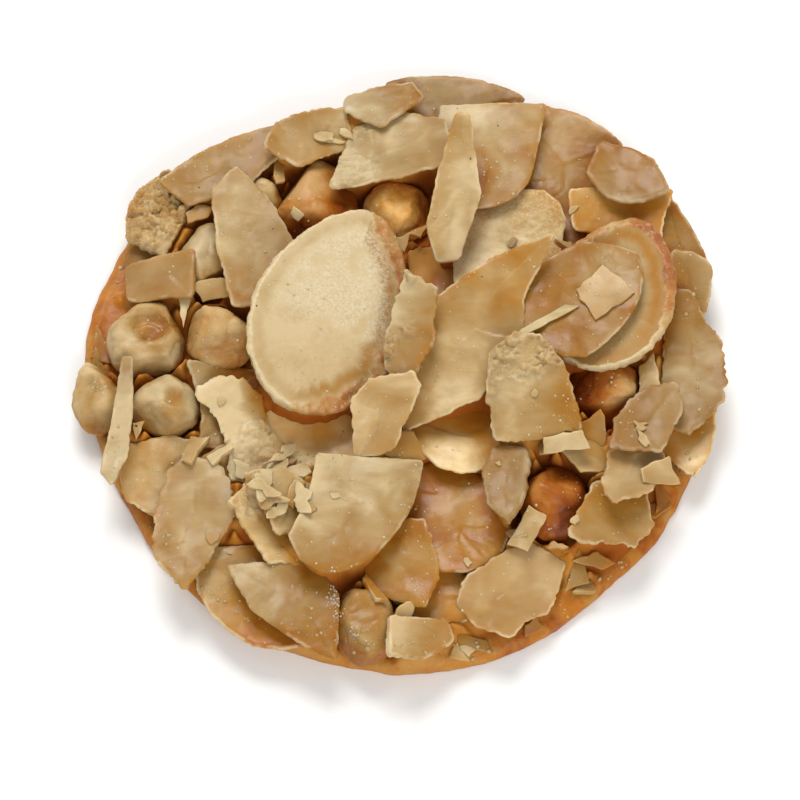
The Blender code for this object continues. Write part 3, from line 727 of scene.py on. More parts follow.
def bake_half(node, looks, rim_width, rim_height, browning, frosted, seed):
    """An almond half: its flat cut face, frosted or not, lies inside a thin rim of skin, browned
    towards one side, and its back is domed. The rim is in millimetres."""
    source = frame["nodes"][node].data
    middle, up = lie_of(source)
    mesh, points, normals = remeshed(source, node + "_baked", 2)
    inside, out, spots = edge_of(points, normals, up)
    facing = normals @ up
    points = tear(points, inside, out, spots, 0.12, seed)
    upper = smoothstep(facing, 0.1, 0.6)
    angle = np.arctan2(out[:, 1], out[:, 0])
    browned = smoothstep(np.cos(angle - math.radians(browning)), -0.35, 0.6)
    uneven = 0.3 * rough_noise(spots, 2.2 * MM, seed + 3, 3) * (0.3 + browned)
    width = np.maximum(rim_width * (0.25 + 0.85 * browned + uneven), 0.2) * MM
    on_rim = 1 - smoothstep(inside / width, 0.75, 1.1)
    ridge = rim_height * np.exp(-((inside / width - 0.7) / 0.4) ** 2) * (0.5 + 0.5 * browned)
    creases = 0.16 * rough_noise(points, 0.8 * MM, seed + 5, 3) * on_rim * (0.15 + 0.85 * browned)
    face = rough_noise(points, 5.0 * MM, seed + 7, 2) * 0.12
    grain = rough_noise(points, 0.7 * MM, seed + 8, 3) * 0.025
    bulge = -0.35 * smoothstep(-facing, 0.2, 0.9)
    rise = upper * (ridge + creases + face + grain) + bulge
    side = (1 - np.abs(facing)) * 0.18 * rough_noise(points, 1.1 * MM, seed + 9, 3)
    height = (points - middle) @ up
    depth = np.clip((height.max() - 0.4 * MM - height) / (height.max() - height.min()), 0, 1)
    tucked = 2.0 * (1 - np.sqrt(1 - depth ** 2 * 0.98)) * np.exp(-inside / (3.0 * MM)) + 0.4 * depth
    points = points + (rise * MM)[:, None] * up + out * ((side - tucked) * MM)[:, None]
    write(mesh, points)
    golden_band = np.exp(-((inside - width - 0.7 * MM) / (0.7 * MM)) ** 2) * (0.15 + 0.45 * browned)
    colour_marks(mesh, points, looks, golden_band * upper)
    under = smoothstep(-facing, -0.35, 0.25)
    mark(mesh, "skin", np.clip(np.maximum(on_rim, under), 0, 1))
    uneven = 0.75 + 0.35 * rough_noise(spots, 3.0 * MM, seed + 11, 2)
    mark(mesh, "brown", 0.04 + 0.85 * browned * uneven + 0.08 * under)
    along = (points - middle) @ np.array(FROST_WAY) / (4.0 * MM)
    on_face = smoothstep(inside, 1.2 * MM, 2.6 * MM)
    mark(mesh, "frost", frosted * smoothstep(along, -1.2, 0.2) * on_face)
    return place(node + "_baked", mesh, CUT_ALMOND, slot_of(node), node)


# The caramel under and between the pieces

# The cells of the grid of heights, and how far it reaches from the middle
CELL = 0.2 * MM
HALF_WIDTH = 35.0 * MM


class Relief:
    """Heights over a square grid of cells: the top of the pile and the underside of what is on
    top, in metres, with NaN where no piece lies."""

    def __init__(self):
        count = round(2 * HALF_WIDTH / CELL)
        places = (np.arange(count) + 0.5) * CELL - HALF_WIDTH
        self.x, self.y = np.meshgrid(places, places, indexing="ij")
        self.flat = np.stack([self.x.ravel(), self.y.ravel(), np.zeros(self.x.size)], 1)
        self.top = np.full(self.x.shape, np.nan)
        self.under = np.full(self.x.shape, np.nan)

    def add(self, mesh):
        """Lays a piece over what is there."""
        points = read(mesh, "co")
        rows = ((points[:, 0] + HALF_WIDTH) / CELL).astype(int)
        columns = ((points[:, 1] + HALF_WIDTH) / CELL).astype(int)
        top = np.full(self.top.shape, -np.inf)
        under = np.full(self.top.shape, np.inf)
        np.maximum.at(top, (rows, columns), points[:, 2])
        np.minimum.at(under, (rows, columns), points[:, 2])
        top = neighbours(top, np.maximum)
        under = neighbours(under, np.minimum)
        higher = np.isfinite(top) & ~(top <= self.top)
        self.top[higher] = top[higher]
        self.under[higher] = under[higher]

    def speckle(self, size, seed, octaves=2):
        """Noise over the grid."""
        return rough_noise(self.flat, size, seed, octaves).reshape(self.x.shape)


def neighbours(values, choose):
    """The lowest or highest of each cell and the cells round it."""
    result = values
    for axis in (0, 1):
        result = choose(result, choose(np.roll(values, 1, axis), np.roll(values, -1, axis)))
    return result


def blurred(values, known, width):
    """The known values blurred over a width in metres, reaching over what is unknown."""
    reach = int(3 * width / CELL)
    steps = np.arange(-reach, reach + 1) * CELL
    bell = np.exp(-(steps / width) ** 2 / 2)
    total = np.where(known, values, 0.0)
    weight = known.astype(float)
    for axis in (0, 1):
        total = np.apply_along_axis(np.convolve, axis, total, bell, "same")
        weight = np.apply_along_axis(np.convolve, axis, weight, bell, "same")
    return total / np.maximum(weight, 1e-9), weight / bell.sum() ** 2


def sampled(grid, x, y):
    """Grid values at places, blended between cells."""
    row = np.clip((x + HALF_WIDTH) / CELL - 0.5, 0, grid.shape[0] - 1.001)
    column = np.clip((y + HALF_WIDTH) / CELL - 0.5, 0, grid.shape[1] - 1.001)
    near = row.astype(int)
    left = column.astype(int)
    deep = row - near
    wide = column - left
    return ((1 - deep) * (1 - wide) * grid[near, left] + deep * (1 - wide) * grid[near + 1, left]
            + (1 - deep) * wide * grid[near, left + 1] + deep * wide * grid[near + 1, left + 1])


# How the caramel's mesh is divided: round it, over its top, round its lip and foot, and under it
ROUND_STEPS = 540
RINGS = 125
LIP_STEPS = 10
FOOT_STEPS = 5
UNDER_STEPS = 36
# How round its lip and its foot are
LIP = 1.1 * MM
FOOT = 0.35 * MM
# How thick it is along the rim and where it is bare
RIM_THICKNESS = 1.25 * MM
BARE_THICKNESS = 1.8 * MM
# How many cells it stays back under the edges of the pieces
OVERHANG_CELLS = 7
# The rim of the CAD base is found in this many directions, then smoothed over this many steps
RIM_DIRECTIONS = 48
RIM_SMOOTHING = 19
# Where the caramel is bare: middle and reach in millimetres
BARE = ((-29.0, 11.5, 3.4), (-29.6, 6.5, 2.6), (-25.8, -14.0, 2.6), (-24.0, -18.0, 2.4), (-19.5, -24.0, 2.0),
        (28.0, -12.5, 2.0), (25.5, -17.5, 2.2), (21.5, -22.0, 2.4), (16.5, -26.0, 2.4), (11.0, -29.0, 2.0))


def rim_outline(count):
    """How far the rim of the CAD base lies from the origin, at even angles."""
    points = read(frame["nodes"]["caramel_base"].data, "co")
    reach = np.hypot(points[:, 0], points[:, 1])
    outer = points[reach > 0.86 * reach.max()]
    angles = np.arctan2(outer[:, 1], outer[:, 0])
    order = np.argsort(angles)
    angles = angles[order]
    reach = np.hypot(outer[:, 0], outer[:, 1])[order]
    directions = np.round(angles / (2 * math.pi / RIM_DIRECTIONS)).astype(int)
    groups = [np.nonzero(directions == direction)[0] for direction in np.unique(directions)]
    farthest = [group[np.argmax(reach[group])] for group in groups]
    at = angles[farthest]
    even = (np.arange(count) / count * 2 - 1) * math.pi
    wide = np.concatenate((at - 2 * math.pi, at, at + 2 * math.pi))
    values = np.interp(even, wide, np.tile(reach[farthest], 3))
    bell = np.hanning(RIM_SMOOTHING)
    lap = RIM_SMOOTHING // 2
    lapped = np.concatenate((values[-lap:], values, values[:lap]))
    return even, np.convolve(lapped, bell / bell.sum(), "valid")


def bare_caramel(x, y):
    """1 where the caramel is bare, 0 where pieces cover it."""
    bare = np.zeros(np.shape(x))
    for middle_x, middle_y, reach in BARE:
        away = np.hypot(x - middle_x * MM, y - middle_y * MM) / (reach * MM)
        bare = np.maximum(bare, 1 - smoothstep(away, 0.75, 1.15))
    return bare


def pour_caramel(relief, from_rim):
    """The caramel: it fills the cookie up to the undersides of the pieces and runs out to a thin
    smooth rim."""
    known = ~np.isnan(relief.top)
    level, nearness = blurred(relief.top, known, 1.2 * MM)
    wide_level, _ = blurred(relief.top, known, 3.0 * MM)
    bare = bare_caramel(relief.x, relief.y)
    base = BARE_THICKNESS + 0.3 * MM * relief.speckle(5 * MM, 41)
    heaped = smoothstep(nearness, 0.1, 0.5) * (1 - bare)
    dip = (0.3 + 0.25 * relief.speckle(2.2 * MM, 43)) * MM
    height = base + (np.minimum(level, wide_level + 0.4 * MM) - dip - base) * heaped
    height = height + relief.speckle(0.9 * MM, 31, 3) * 0.10 * MM * heaped
    below = np.where(known, np.minimum(height, relief.under + 0.30 * MM), height)
    for _ in range(OVERHANG_CELLS):
        below = neighbours(below, np.minimum)
    height = np.maximum(np.where(known, below, height), 1.1 * MM)
    inward = smoothstep(from_rim, 0.0, 2.2 * MM)
    height = RIM_THICKNESS + (height - RIM_THICKNESS) * inward
    soft, _ = blurred(height, np.isfinite(height), 0.2 * MM)
    shown = np.where(known, relief.top, height)
    surroundings, _ = blurred(shown, np.isfinite(shown), 1.6 * MM)
    # How far the caramel lies below the surface round it; where it lies deep, shade is painted on.
    hollow = smoothstep((surroundings - soft) / MM, 0.6, 3.0)
    return soft, hollow, bare


def toast_low_places_with_painted_shade(piece, level):
    """Toasts a piece where it lies lower than what is round it: partly caramel gathering there,
    partly painted shade in the low places.
    """
    mesh = piece.data
    points = read(mesh, "co")
    toast = np.empty(len(points), np.float32)
    mesh.attributes["toast"].data.foreach_get("value", toast)
    lower = sampled(level, points[:, 0], points[:, 1]) - points[:, 2]
    mark(mesh, "toast", toast + 0.45 * smoothstep(lower / MM, 0.2, 2.2))


def fan(count, middle, start, upward):
    """Triangles from a middle corner to a ring of corners."""
    here = start + np.arange(count)
    after = start + (np.arange(count) + 1) % count
    sides = (here, after) if upward else (after, here)
    return np.stack([np.full(count, middle), *sides], 1)


def bands(count, rings):
    """Four-cornered faces between rings of corners, of which the first follows corner 0."""
    here = np.arange(count)
    after = (here + 1) % count
    faces = []
    for first in range(1, 1 + (rings - 1) * count, count):
        second = first + count
        faces.append(np.stack([first + here, second + here, second + after, first + after], 1))
    return np.concatenate(faces)


def caramel_mesh(relief, from_rim, angles, rim):
    """The caramel as a closed mesh of rings: its top, its rounded rim and its underside."""
    height, hollow, bare = pour_caramel(relief, from_rim)
    cos = np.cos(angles)
    sin = np.sin(angles)
    wobble = rough_noise(np.stack([cos, sin, 0 * cos], 1) * 30 * MM, 4.5 * MM, 51, 4) * 0.30 * MM - 0.15 * MM
    radius = rim + wobble
    points = []
    marks = {"hollow": [], "bare": [], "edge": []}

    def ring(part, lift, hollow_mark, bare_mark, edge_mark):
        points.append(np.stack([part * cos, part * sin, lift], 1))
        for name, values in zip(marks, (hollow_mark, bare_mark, edge_mark)):
            marks[name].append(np.broadcast_to(values, len(cos)))

    shoulder = radius - LIP
    for step in range(1, RINGS + 1):
        part = shoulder * (step / RINGS) ** 0.75
        x = part * cos
        y = part * sin
        near_edge = smoothstep(part / shoulder, 0.955, 1.0)
        ring(part, sampled(height, x, y), sampled(hollow, x, y), sampled(bare, x, y), near_edge)
    shoulder_height = points[-1][:, 2]
    rim_bare = bare_caramel(radius * cos, radius * sin)
    for step in range(1, LIP_STEPS + 1):
        turn = math.pi / 2 * step / LIP_STEPS
        lip_height = shoulder_height * (0.35 + 0.65 * math.cos(turn))
        ring(shoulder + LIP * math.sin(turn), lip_height, 0.0, rim_bare, 1.0)
    tucked = radius - FOOT
    for step in range(1, FOOT_STEPS + 1):
        turn = math.pi / 2 * step / FOOT_STEPS
        lift = points[-1][:, 2] * (1 - math.sin(turn) * 0.98) * (step < FOOT_STEPS)
        ring(tucked + FOOT * math.cos(turn), lift, 0.0, rim_bare, 0.7)
    for step in range(1, UNDER_STEPS):
        part = tucked * (1 - step / UNDER_STEPS)
        spots = np.stack([part * cos, part * sin, 0 * cos], 1)
        near, _, own_pore = lumps(spots, 3.2 * MM, 61)
        pore = np.maximum(0, 0.28 - near) * (own_pore > -0.1) * 1.6 * MM
        flow = np.maximum(0, rough_noise(spots, 4 * MM, 63, 3)) * 0.10 * MM
        ring(part, pore + flow, 0.0, 0.0, 0.0)
    count = len(cos)
    top_middle = [[0, 0, sampled(height, np.zeros(1), np.zeros(1))[0]]]
    corners = np.concatenate([top_middle, *points, [[0, 0, 0]]])
    top_fan = fan(count, 0, 1, True).tolist()
    under_fan = fan(count, len(corners) - 1, len(corners) - 1 - count, False).tolist()
    mesh = bpy.data.meshes.new("caramel")
    mesh.from_pydata(corners.tolist(), [], top_fan + bands(count, len(points)).tolist() + under_fan)
    for name, values in marks.items():
        mark(mesh, name, np.concatenate([values[0][:1], *values, values[-1][:1]]))
    return mesh


# Shards, chips and crumbs

class Heap:
    """Many small pieces of one kind, joined into one mesh."""

    def __init__(self, name):
        self.name = name
        self.corners = []
        self.faces = []
        self.marks = {"toast": [], "blush": [], "shade": [], "rim": [], "frost": []}
        self.count = 0

    def add(self, points, faces, toast, blush=0.0, shade=1.0, rim=0.0, frost=0.0):
        """Adds one small piece and its marks."""
        self.corners.append(points)
        self.faces.extend((np.asarray(faces) + self.count).tolist())
        self.count += len(points)
        for name, value in zip(self.marks, (toast, blush, shade, rim, frost)):
            self.marks[name].append(np.broadcast_to(value, len(points)))

    def place(self, finish, slot):
        mesh = bpy.data.meshes.new(self.name)
        mesh.from_pydata(np.concatenate(self.corners).tolist(), [], self.faces)
        for name, values in self.marks.items():
            mark(mesh, name, np.concatenate(values))
        return place(self.name, mesh, finish, slot)


# How many corners a chip's outline has
OUTLINE_STEPS = 30
# How a chip's faces and edge run from the middle of its top to the middle of its underside: how
# far out, how far out less the rounding of its edge, how deep, and how much of an edge it is
CHIP_PROFILE = ((0.0, 0, 0, 0), (0.35, 0, 0, 0), (0.7, 0, 0, 0), (1, 1.4, 0, 0.5), (1, 0.4, 0.03, 1),
                (1, 0, 0.15, 1), (1, 0.6, 0.7, 0.8), (1, 2.5, 1, 0.5), (0.5, 0, 1, 0), (0.0, 0, 1, 0))


def turned(x, y, turn):
    """Corners turned by an angle."""
    return np.stack([x * math.cos(turn) - y * math.sin(turn), x * math.sin(turn) + y * math.cos(turn)], 1)


def broken_outline(length, width):
    """The corners of a broken piece of almond: straight breaks, and often one round side."""
    if DICE.uniform() < 0.3:
        angles = np.concatenate((np.linspace(0, math.pi * DICE.uniform(0.7, 1.1), 7),
                                 math.pi * np.array((DICE.uniform(1.2, 1.5), DICE.uniform(1.6, 1.85)))))
    else:
        corners = DICE.integers(3, 6)
        angles = (np.arange(corners) + DICE.uniform(-0.36, 0.36, corners)) / corners * 2 * math.pi
    turn = DICE.uniform(0, 2 * math.pi)
    return turned(np.cos(angles) * length / 2, np.sin(angles) * width / 2, turn)


def chip(corners, thickness, bend, torn=0.08):
    """A thin chip with its upper face at height 0: points, faces and where its edge is."""
    closed = np.vstack((corners, corners[:1]))
    lengths = np.concatenate(([0], np.cumsum(np.linalg.norm(np.diff(closed, axis=0), axis=1))))
    along = np.linspace(0, lengths[-1], OUTLINE_STEPS, endpoint=False)
    outline = np.stack([np.interp(along, lengths, closed[:, axis]) for axis in (0, 1)], 1)
    for corner, length in zip(corners, lengths):
        outline[int(round(length / lengths[-1] * OUTLINE_STEPS)) % OUTLINE_STEPS] = corner
    start = DICE.uniform(0, 1)
    bumpy = rough_noise(np.column_stack((outline, np.full(len(outline), start))), 1.1 * MM, 3, 2)
    reach = np.linalg.norm(outline, axis=1)
    outline = outline * (1 + bumpy * torn * MM / np.maximum(reach, 0.3 * MM) * 3)[:, None]
    rounding = min(0.10 * MM / reach.mean(), 0.12)
    points = []
    edge = []
    for part, less, depth, edge_mark in CHIP_PROFILE:
        ring = outline * (part - less * rounding)
        if part == 0:
            ring = ring[:1]
        points.append(np.column_stack((ring, np.full(len(ring), -depth * thickness))))
        edge.append(np.full(len(ring), float(edge_mark)))
    points = np.concatenate(points)
    seed = int(DICE.integers(1, 9999))
    wave = rough_noise(points * (1, 1, 0), 1.8 * MM, seed, 2) * min(0.07 * MM, thickness * 0.12)
    bent = DICE.uniform(0, math.pi)
    across = points[:, 0] * math.cos(bent) + points[:, 1] * math.sin(bent)
    points[:, 2] += wave - bend * across ** 2 / MM
    sides = bands(OUTLINE_STEPS, len(CHIP_PROFILE) - 2)
    last = len(points) - 1
    faces = (fan(OUTLINE_STEPS, 0, 1, True), sides[:, (0, 1, 2)], sides[:, (0, 2, 3)],
             fan(OUTLINE_STEPS, last, last - OUTLINE_STEPS, False))
    return points, np.concatenate(faces), np.concatenate(edge)


def tipped(points, up):
    """Points tipped so that their +Z looks along a vector."""
    tip = np.array(Vector((0, 0, 1)).rotation_difference(Vector(up)).to_matrix())
    return points @ tip.T


def footprint(relief, corners, x, y):
    """The cells that a chip covers: a window of the grid, and which of its cells."""
    reach = np.abs(corners).max() + CELL
    low_row, low_column = (int((value - reach + HALF_WIDTH) / CELL) for value in (x, y))
    high_row, high_column = (int((value + reach + HALF_WIDTH) / CELL) + 1 for value in (x, y))
    window = (slice(low_row, high_row), slice(low_column, high_column))
    across = relief.x[window] - x
    up = relief.y[window] - y
    inside = np.ones(across.shape, bool)
    for first, second in zip(corners, np.roll(corners, -1, axis=0)):
        side = second - first
        inside &= side[0] * (up - first[1]) - side[1] * (across - first[0]) > 0
    return window, inside, across, up


# How many shards are tried, and at how many spots each, to find the one with most room round it
SHARDS_TRIED = 900
SPOTS_TRIED = 30
ROOM = 6
# A shard has to show this many cells, and the gaps are filled when this many are left
LEAST_SHOWN = 24
GAPS_LEFT = 400
# How many slopes are tried for a shard, how steep they are, and how badly it may fit
SLOPES_TRIED = 8
STEEPNESS = 0.24
LARGEST_MISFIT = 1.3 * MM


def resting_slope(wanted, footing, relief, dome, thickness):
    """The slope, out of a few random ones, that lets a shard lie closest to a wanted height over
    and under the pieces round it, and how far it is lifted. None where it can't lie."""
    window, inside, across, up = footing
    top = relief.top[window]
    under = relief.under[window]
    least = LARGEST_MISFIT
    found = None
    for _ in range(SLOPES_TRIED):
        slope = DICE.normal(0, STEEPNESS, 2)
        plane = wanted + slope[0] * across + slope[1] * up
        there = inside & ~np.isnan(top)
        over = there & (plane - thickness / 2 > (top + under) / 2)
        tucked = there & ~over
        if over.sum() > 0.22 * inside.sum():
            continue
        highest = np.min((under - plane)[tucked], initial=9.0) + 0.15 * MM
        highest = min(highest, np.min((dome[window] - plane)[inside], initial=9.0))
        lowest = np.max((top - plane)[over], initial=-9.0) + thickness - 0.3 * MM
        lift = min(max(0.0, lowest), highest)
        misfit = max(0.0, lowest - highest) * 2 + abs(lift)
        if misfit < least:
            least = misfit
            found = (slope, lift)
    return found


def tuck_shards(relief, from_rim):
    """Fills the gaps between the pieces with shards of almond, each tucked under what is higher
    and resting on what is lower."""
    heap = Heap("almond_shards")
    known = ~np.isnan(relief.top)
    level, _ = blurred(relief.top, known, 1.8 * MM)
    dome = 1.5 * MM + 1.15 * from_rim
    level = np.minimum(level, dome)
    closed = (from_rim < 0.9 * MM) | (bare_caramel(relief.x, relief.y) > 0.4)
    for attempt in range(SHARDS_TRIED):
        rows, columns = np.nonzero(np.isnan(relief.top) & ~closed)
        if len(rows) < GAPS_LEFT:
            break
        spots = [(rows[pick], columns[pick]) for pick in DICE.integers(0, len(rows), SPOTS_TRIED)]
        room = [np.isnan(relief.top[row - ROOM:row + ROOM + 1, column - ROOM:column + ROOM + 1]).sum()
                for row, column in spots]
        spot = spots[int(np.argmax(room))]
        x = relief.x[spot]
        y = relief.y[spot]
        length = DICE.uniform(4.0, 8.0) * MM * (1 if attempt < SHARDS_TRIED / 2 else 0.6)
        corners = broken_outline(length, length * DICE.uniform(0.35, 0.9))
        thickness = DICE.uniform(0.35, 0.65) * MM
        window, inside, across, up = footprint(relief, corners, x, y)
        if (from_rim[window][inside] < 0.4 * MM).any():
            continue
        wanted = level[spot] - DICE.uniform(0.0, 0.8) * MM
        found = resting_slope(wanted, (window, inside, across, up), relief, dome, thickness)
        if found is None:
            continue
        slope, lift = found
        plane = wanted + lift + slope[0] * across + slope[1] * up
        shown = inside & ~(plane < relief.top[window])
        if shown.sum() < LEAST_SHOWN:
            continue
        relief.top[window][shown] = plane[shown]
        relief.under[window][shown] = plane[shown] - thickness
        points, faces, edge = chip(corners, thickness, DICE.uniform(-0.03, 0.05))
        # Painted shade: shards lying deep below the pile are made darker.
        deep = smoothstep(level[spot] - wanted - lift, 0.6 * MM, 1.8 * MM)
        laid = tipped(points, (-slope[0], -slope[1], 1)) + (x, y, wanted + lift)
        heap.add(laid, faces, DICE.uniform(0.12, 0.70), DICE.uniform(0, 1) ** 2 * 0.6,
                 DICE.uniform(0.94, 1.05) - 0.08 * deep, 0.4 * edge)
    return heap


def lay_on_top(relief, heap, x, y, corners, thickness, toast, blush=0.0, frost=0.0, torn=0.08):
    """Lays a chip on whatever is highest under it."""
    window, inside, across, up = footprint(relief, corners, x, y)
    there = inside & ~np.isnan(relief.top[window])
    top = relief.top[window]
    if there.sum() < 3:
        return
    sides = np.column_stack((across[there], up[there], np.ones(there.sum())))
    fit = np.linalg.lstsq(sides, top[there], rcond=None)[0]
    slope = np.clip(fit[:2], -CHIP_STEEPNESS, CHIP_STEEPNESS)
    rest = np.quantile((top - slope[0] * across - slope[1] * up)[there], 0.85)
    height = rest + thickness * CHIP_STAND
    plane = height + slope[0] * across + slope[1] * up
    points, faces, edge = chip(corners, thickness, DICE.uniform(-0.01, 0.03), torn)
    laid = tipped(points, (-slope[0], -slope[1], 1)) + (x, y, height)
    heap.add(laid, faces, toast, blush, 1.0, edge, frost)
    top[there] = plane[there]


# How steeply a chip may lie, and how much of its thickness stands over what it lies on
CHIP_STEEPNESS = 0.45
CHIP_STAND = 0.55
# Chips that lie on the pile, in millimetres: middle, length, width, turn in degrees, thickness,
# how toasted and how pinkish
CHIPS = (
    (20.7, 5.6, 4.2, 3.8, 45, 0.6, 0.30, 0.9),
    (14.7, 2.4, 5.8, 1.2, 36, 0.2, 0.20, 0.0),
    (16.5, -10.7, 3.6, 2.2, 5, 1.2, 0.16, 0.0),
    (12.6, -18.3, 4.0, 2.4, 60, 0.7, 0.30, 0.2),
    (25.9, -12.8, 3.4, 2.6, 20, 0.8, 0.36, 0.2),
    (-20.5, -9.2, 3.2, 2.0, 70, 0.7, 0.40, 0.3),
    (-18.0, -10.2, 2.6, 1.3, 30, 0.6, 0.10, 0.0),
    (-10.3, -15.2, 2.8, 1.2, 70, 0.5, 0.62, 0.0),
    (-2.6, -25.2, 3.2, 1.2, 120, 0.8, 0.95, 0.0),
)


def bar(length, width, turn):
    """The corners of an uneven four-sided chip."""
    angles = np.radians((32, 148, 205, 330)) + DICE.uniform(-0.28, 0.28, 4)
    reach = DICE.uniform(0.85, 1.15, 4)
    x = np.cos(angles) * reach * length / 1.55
    y = np.sin(angles) * reach * width / 1.15
    return turned(x, y, math.radians(turn))


def pebble():
    """A round stone of radius 1, as points and faces."""
    ball = bmesh.new()
    bmesh.ops.create_icosphere(ball, subdivisions=1, radius=1)
    points = np.array([corner.co[:] for corner in ball.verts])
    faces = np.array([[corner.index for corner in face.verts] for face in ball.faces])
    ball.free()
    return points, faces


class Skin:
    """The surfaces of all pieces, for finding the highest point at a place."""

    OVERHEAD = 50 * MM

    def __init__(self, pieces):
        self.trees = []
        for piece in pieces:
            mesh = piece.data
            points = read(mesh, "co")
            mesh.calc_loop_triangles()
            corners = np.empty(len(mesh.loop_triangles) * 3, np.int32)
            mesh.loop_triangles.foreach_get("vertices", corners)
            tree = BVHTree.FromPolygons(points.tolist(), corners.reshape(-1, 3).tolist())
            self.trees.append((points.min(axis=0), points.max(axis=0), tree))

    def find(self, x, y):
        """The highest point at a place and the way the surface looks there."""
        best = None
        for low, high, tree in self.trees:
            if not (low[0] <= x <= high[0] and low[1] <= y <= high[1]):
                continue
            if best and best[0].z > high[2]:
                continue
            spot, normal, _, _ = tree.ray_cast(Vector((x, y, self.OVERHEAD)), Vector((0, 0, -1)))
            if spot and (not best or spot.z > best[0].z):
                best = (spot, normal)
        return best


# How far grains reach from the middle
GRAIN_REACH = 31.5 * MM


def anywhere(clustering):
    """A random place on the cookie, more often inside clusters."""
    while True:
        angle = DICE.uniform(0, 2 * math.pi)
        reach = GRAIN_REACH * math.sqrt(DICE.uniform())
        x = reach * math.cos(angle)
        y = reach * math.sin(angle)
        cluster = noise(np.array([[x, y, 0]]), 4.0 * MM, 71)[0]
        if DICE.uniform(-1, 1) <= 0.6 + (cluster - 0.6) * clustering:
            return x, y


def on_rim():
    """A random place close to the rim, mostly at the front."""
    angle = DICE.normal(-math.pi / 2, 1.1)
    reach = np.interp(angle, rim_angles, rim_reach) - abs(DICE.normal(0, 1.0)) * MM - 0.3 * MM
    return reach * math.cos(angle), reach * math.sin(angle)


def around(spots):
    """A random place near one of a few spots, given as a middle and a spread in millimetres."""
    x, y, spread = spots[DICE.integers(len(spots))]
    return DICE.normal(x, spread) * MM, DICE.normal(y, spread) * MM


# The steepest face that a grain stays on, as the upward part of the way it looks
STEEPEST = 0.5


def strew(skin, name, count, choose, least, most, small, flatness, toast):
    """Loose grains, lying on whatever is highest at each chosen place. Sizes are in millimetres,
    and a higher power makes more of them small."""
    heap = Heap(name)
    shape, faces = pebble()
    made = 0
    while made < count:
        x, y = choose()
        found = skin.find(x, y)
        if not found or found[1].z < STEEPEST:
            continue
        spot, normal = found
        size = least + (most - least) * DICE.uniform(0, 1) ** small
        grain = shape * (1, DICE.uniform(0.45, 1.0), flatness * DICE.uniform(0.6, 1.4))
        grain = grain * (1 + 0.35 * noise(shape + DICE.uniform(0, 40), 0.7, 5)[:, None]) * size * MM / 2
        turn = DICE.uniform(0, 2 * math.pi)
        grain = np.column_stack((turned(grain[:, 0], grain[:, 1], turn), grain[:, 2]))
        heap.add(tipped(grain, normal) + np.array(spot), faces, toast + DICE.uniform(-0.12, 0.16))
        made += 1
    return heap


# Random small chips: how many, how far from the middle, and how thick
SMALL_CHIPS = 14
SMALL_CHIP_REACH = 28 * MM
SMALL_CHIP_THICKNESS = 0.25 * MM
# Clusters of torn bits, in millimetres: middle, spread, how many, shortest, longest, how toasted
TORN_BITS = (
    (-12.2, -15.4, 2.4, 8, 3.2, 5.2, 0.08),
    (-6.6, 25.0, 0.8, 3, 1.8, 3.0, 0.20),
    (23.6, -11.5, 1.2, 2, 2.6, 3.6, 0.30),
)
# Where sugar lies: middles and spreads in millimetres
SUGAR_SPOTS = ((-6.6, -24.4, 0.35), (-6.5, -26.2, 0.35), (-6.0, -28.0, 0.4), (-4.8, -30.0, 0.4))


def lay_chips(relief):
    """All chips on the pile: the known ones, then small ones anywhere but on the large almond
    half, then the torn bits."""
    heap = Heap("almond_chips")
    for x, y, length, width, turn, thickness, toast, blush in CHIPS:
        corners = bar(length * MM, width * MM, turn)
        lay_on_top(relief, heap, x * MM, y * MM, corners, thickness * MM, toast, blush)
    half_low, half_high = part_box("almond_half_large")
    for _ in range(SMALL_CHIPS):
        reach = SMALL_CHIP_REACH * math.sqrt(DICE.uniform())
        angle = DICE.uniform(0, 2 * math.pi)
        x = reach * math.cos(angle)
        y = reach * math.sin(angle)
        length = DICE.uniform(0.8, 2.0) * MM
        corners = broken_outline(length, length * DICE.uniform(0.4, 0.9))
        if not (half_low[0] < x < half_high[0] and half_low[1] < y < half_high[1]):
            toast = DICE.uniform(0.1, 0.6)
            lay_on_top(relief, heap, x, y, corners, SMALL_CHIP_THICKNESS, toast, DICE.uniform(0, 0.5))
    for x, y, spread, count, shortest, longest, toast in TORN_BITS:
        for _ in range(count):
            length = DICE.uniform(shortest, longest) * MM
            corners = broken_outline(length, length * DICE.uniform(0.35, 0.6))
            there = (DICE.normal(x, spread) * MM, DICE.normal(y, spread) * MM)
            thickness = DICE.uniform(0.3, 0.5) * MM
            lay_on_top(relief, heap, *there, corners, thickness, toast + DICE.uniform(-0.1, 0.15),
                       frost=0.5, torn=0.2)
    return heap


# Put together

FLESH = {
    "almond_pale": almond_flesh("pale_almond", 0.45),
    "almond_tan": almond_flesh("tan_almond", 0.55),
    "almond_golden": almond_flesh("golden_almond", 0.7),
}
CUT_ALMOND = cut_almond()
TOASTED_NUT = toasted_nut()
CARAMEL = set_caramel()

# Each piece has a seed of its own
pieces = []
for number, (node, looks) in enumerate(FLAKES.items()):
    pieces.append(bake_flake(node, looks, 100 + 37 * number))
for number, (node, looks) in enumerate(NUTS.items()):
    pieces.append(bake_nut(node, looks, 5000 + 41 * number, FLESH[slot_of(node)]))
for number, (node, looks) in enumerate(TOASTED_NUTS.items()):
    pieces.append(bake_nut(node, looks, 7000 + 43 * number, TOASTED_NUT))
pieces.append(bake_half("almond_half_large", Look(0.02, 0.06, 270, shade=0.95), 1.6, 0.10, 345, 1, 9001))
pieces.append(bake_half("almond_half_right", Look(0.36, 0.10, 200), 1.1, 0.22, 60, 0, 9101))

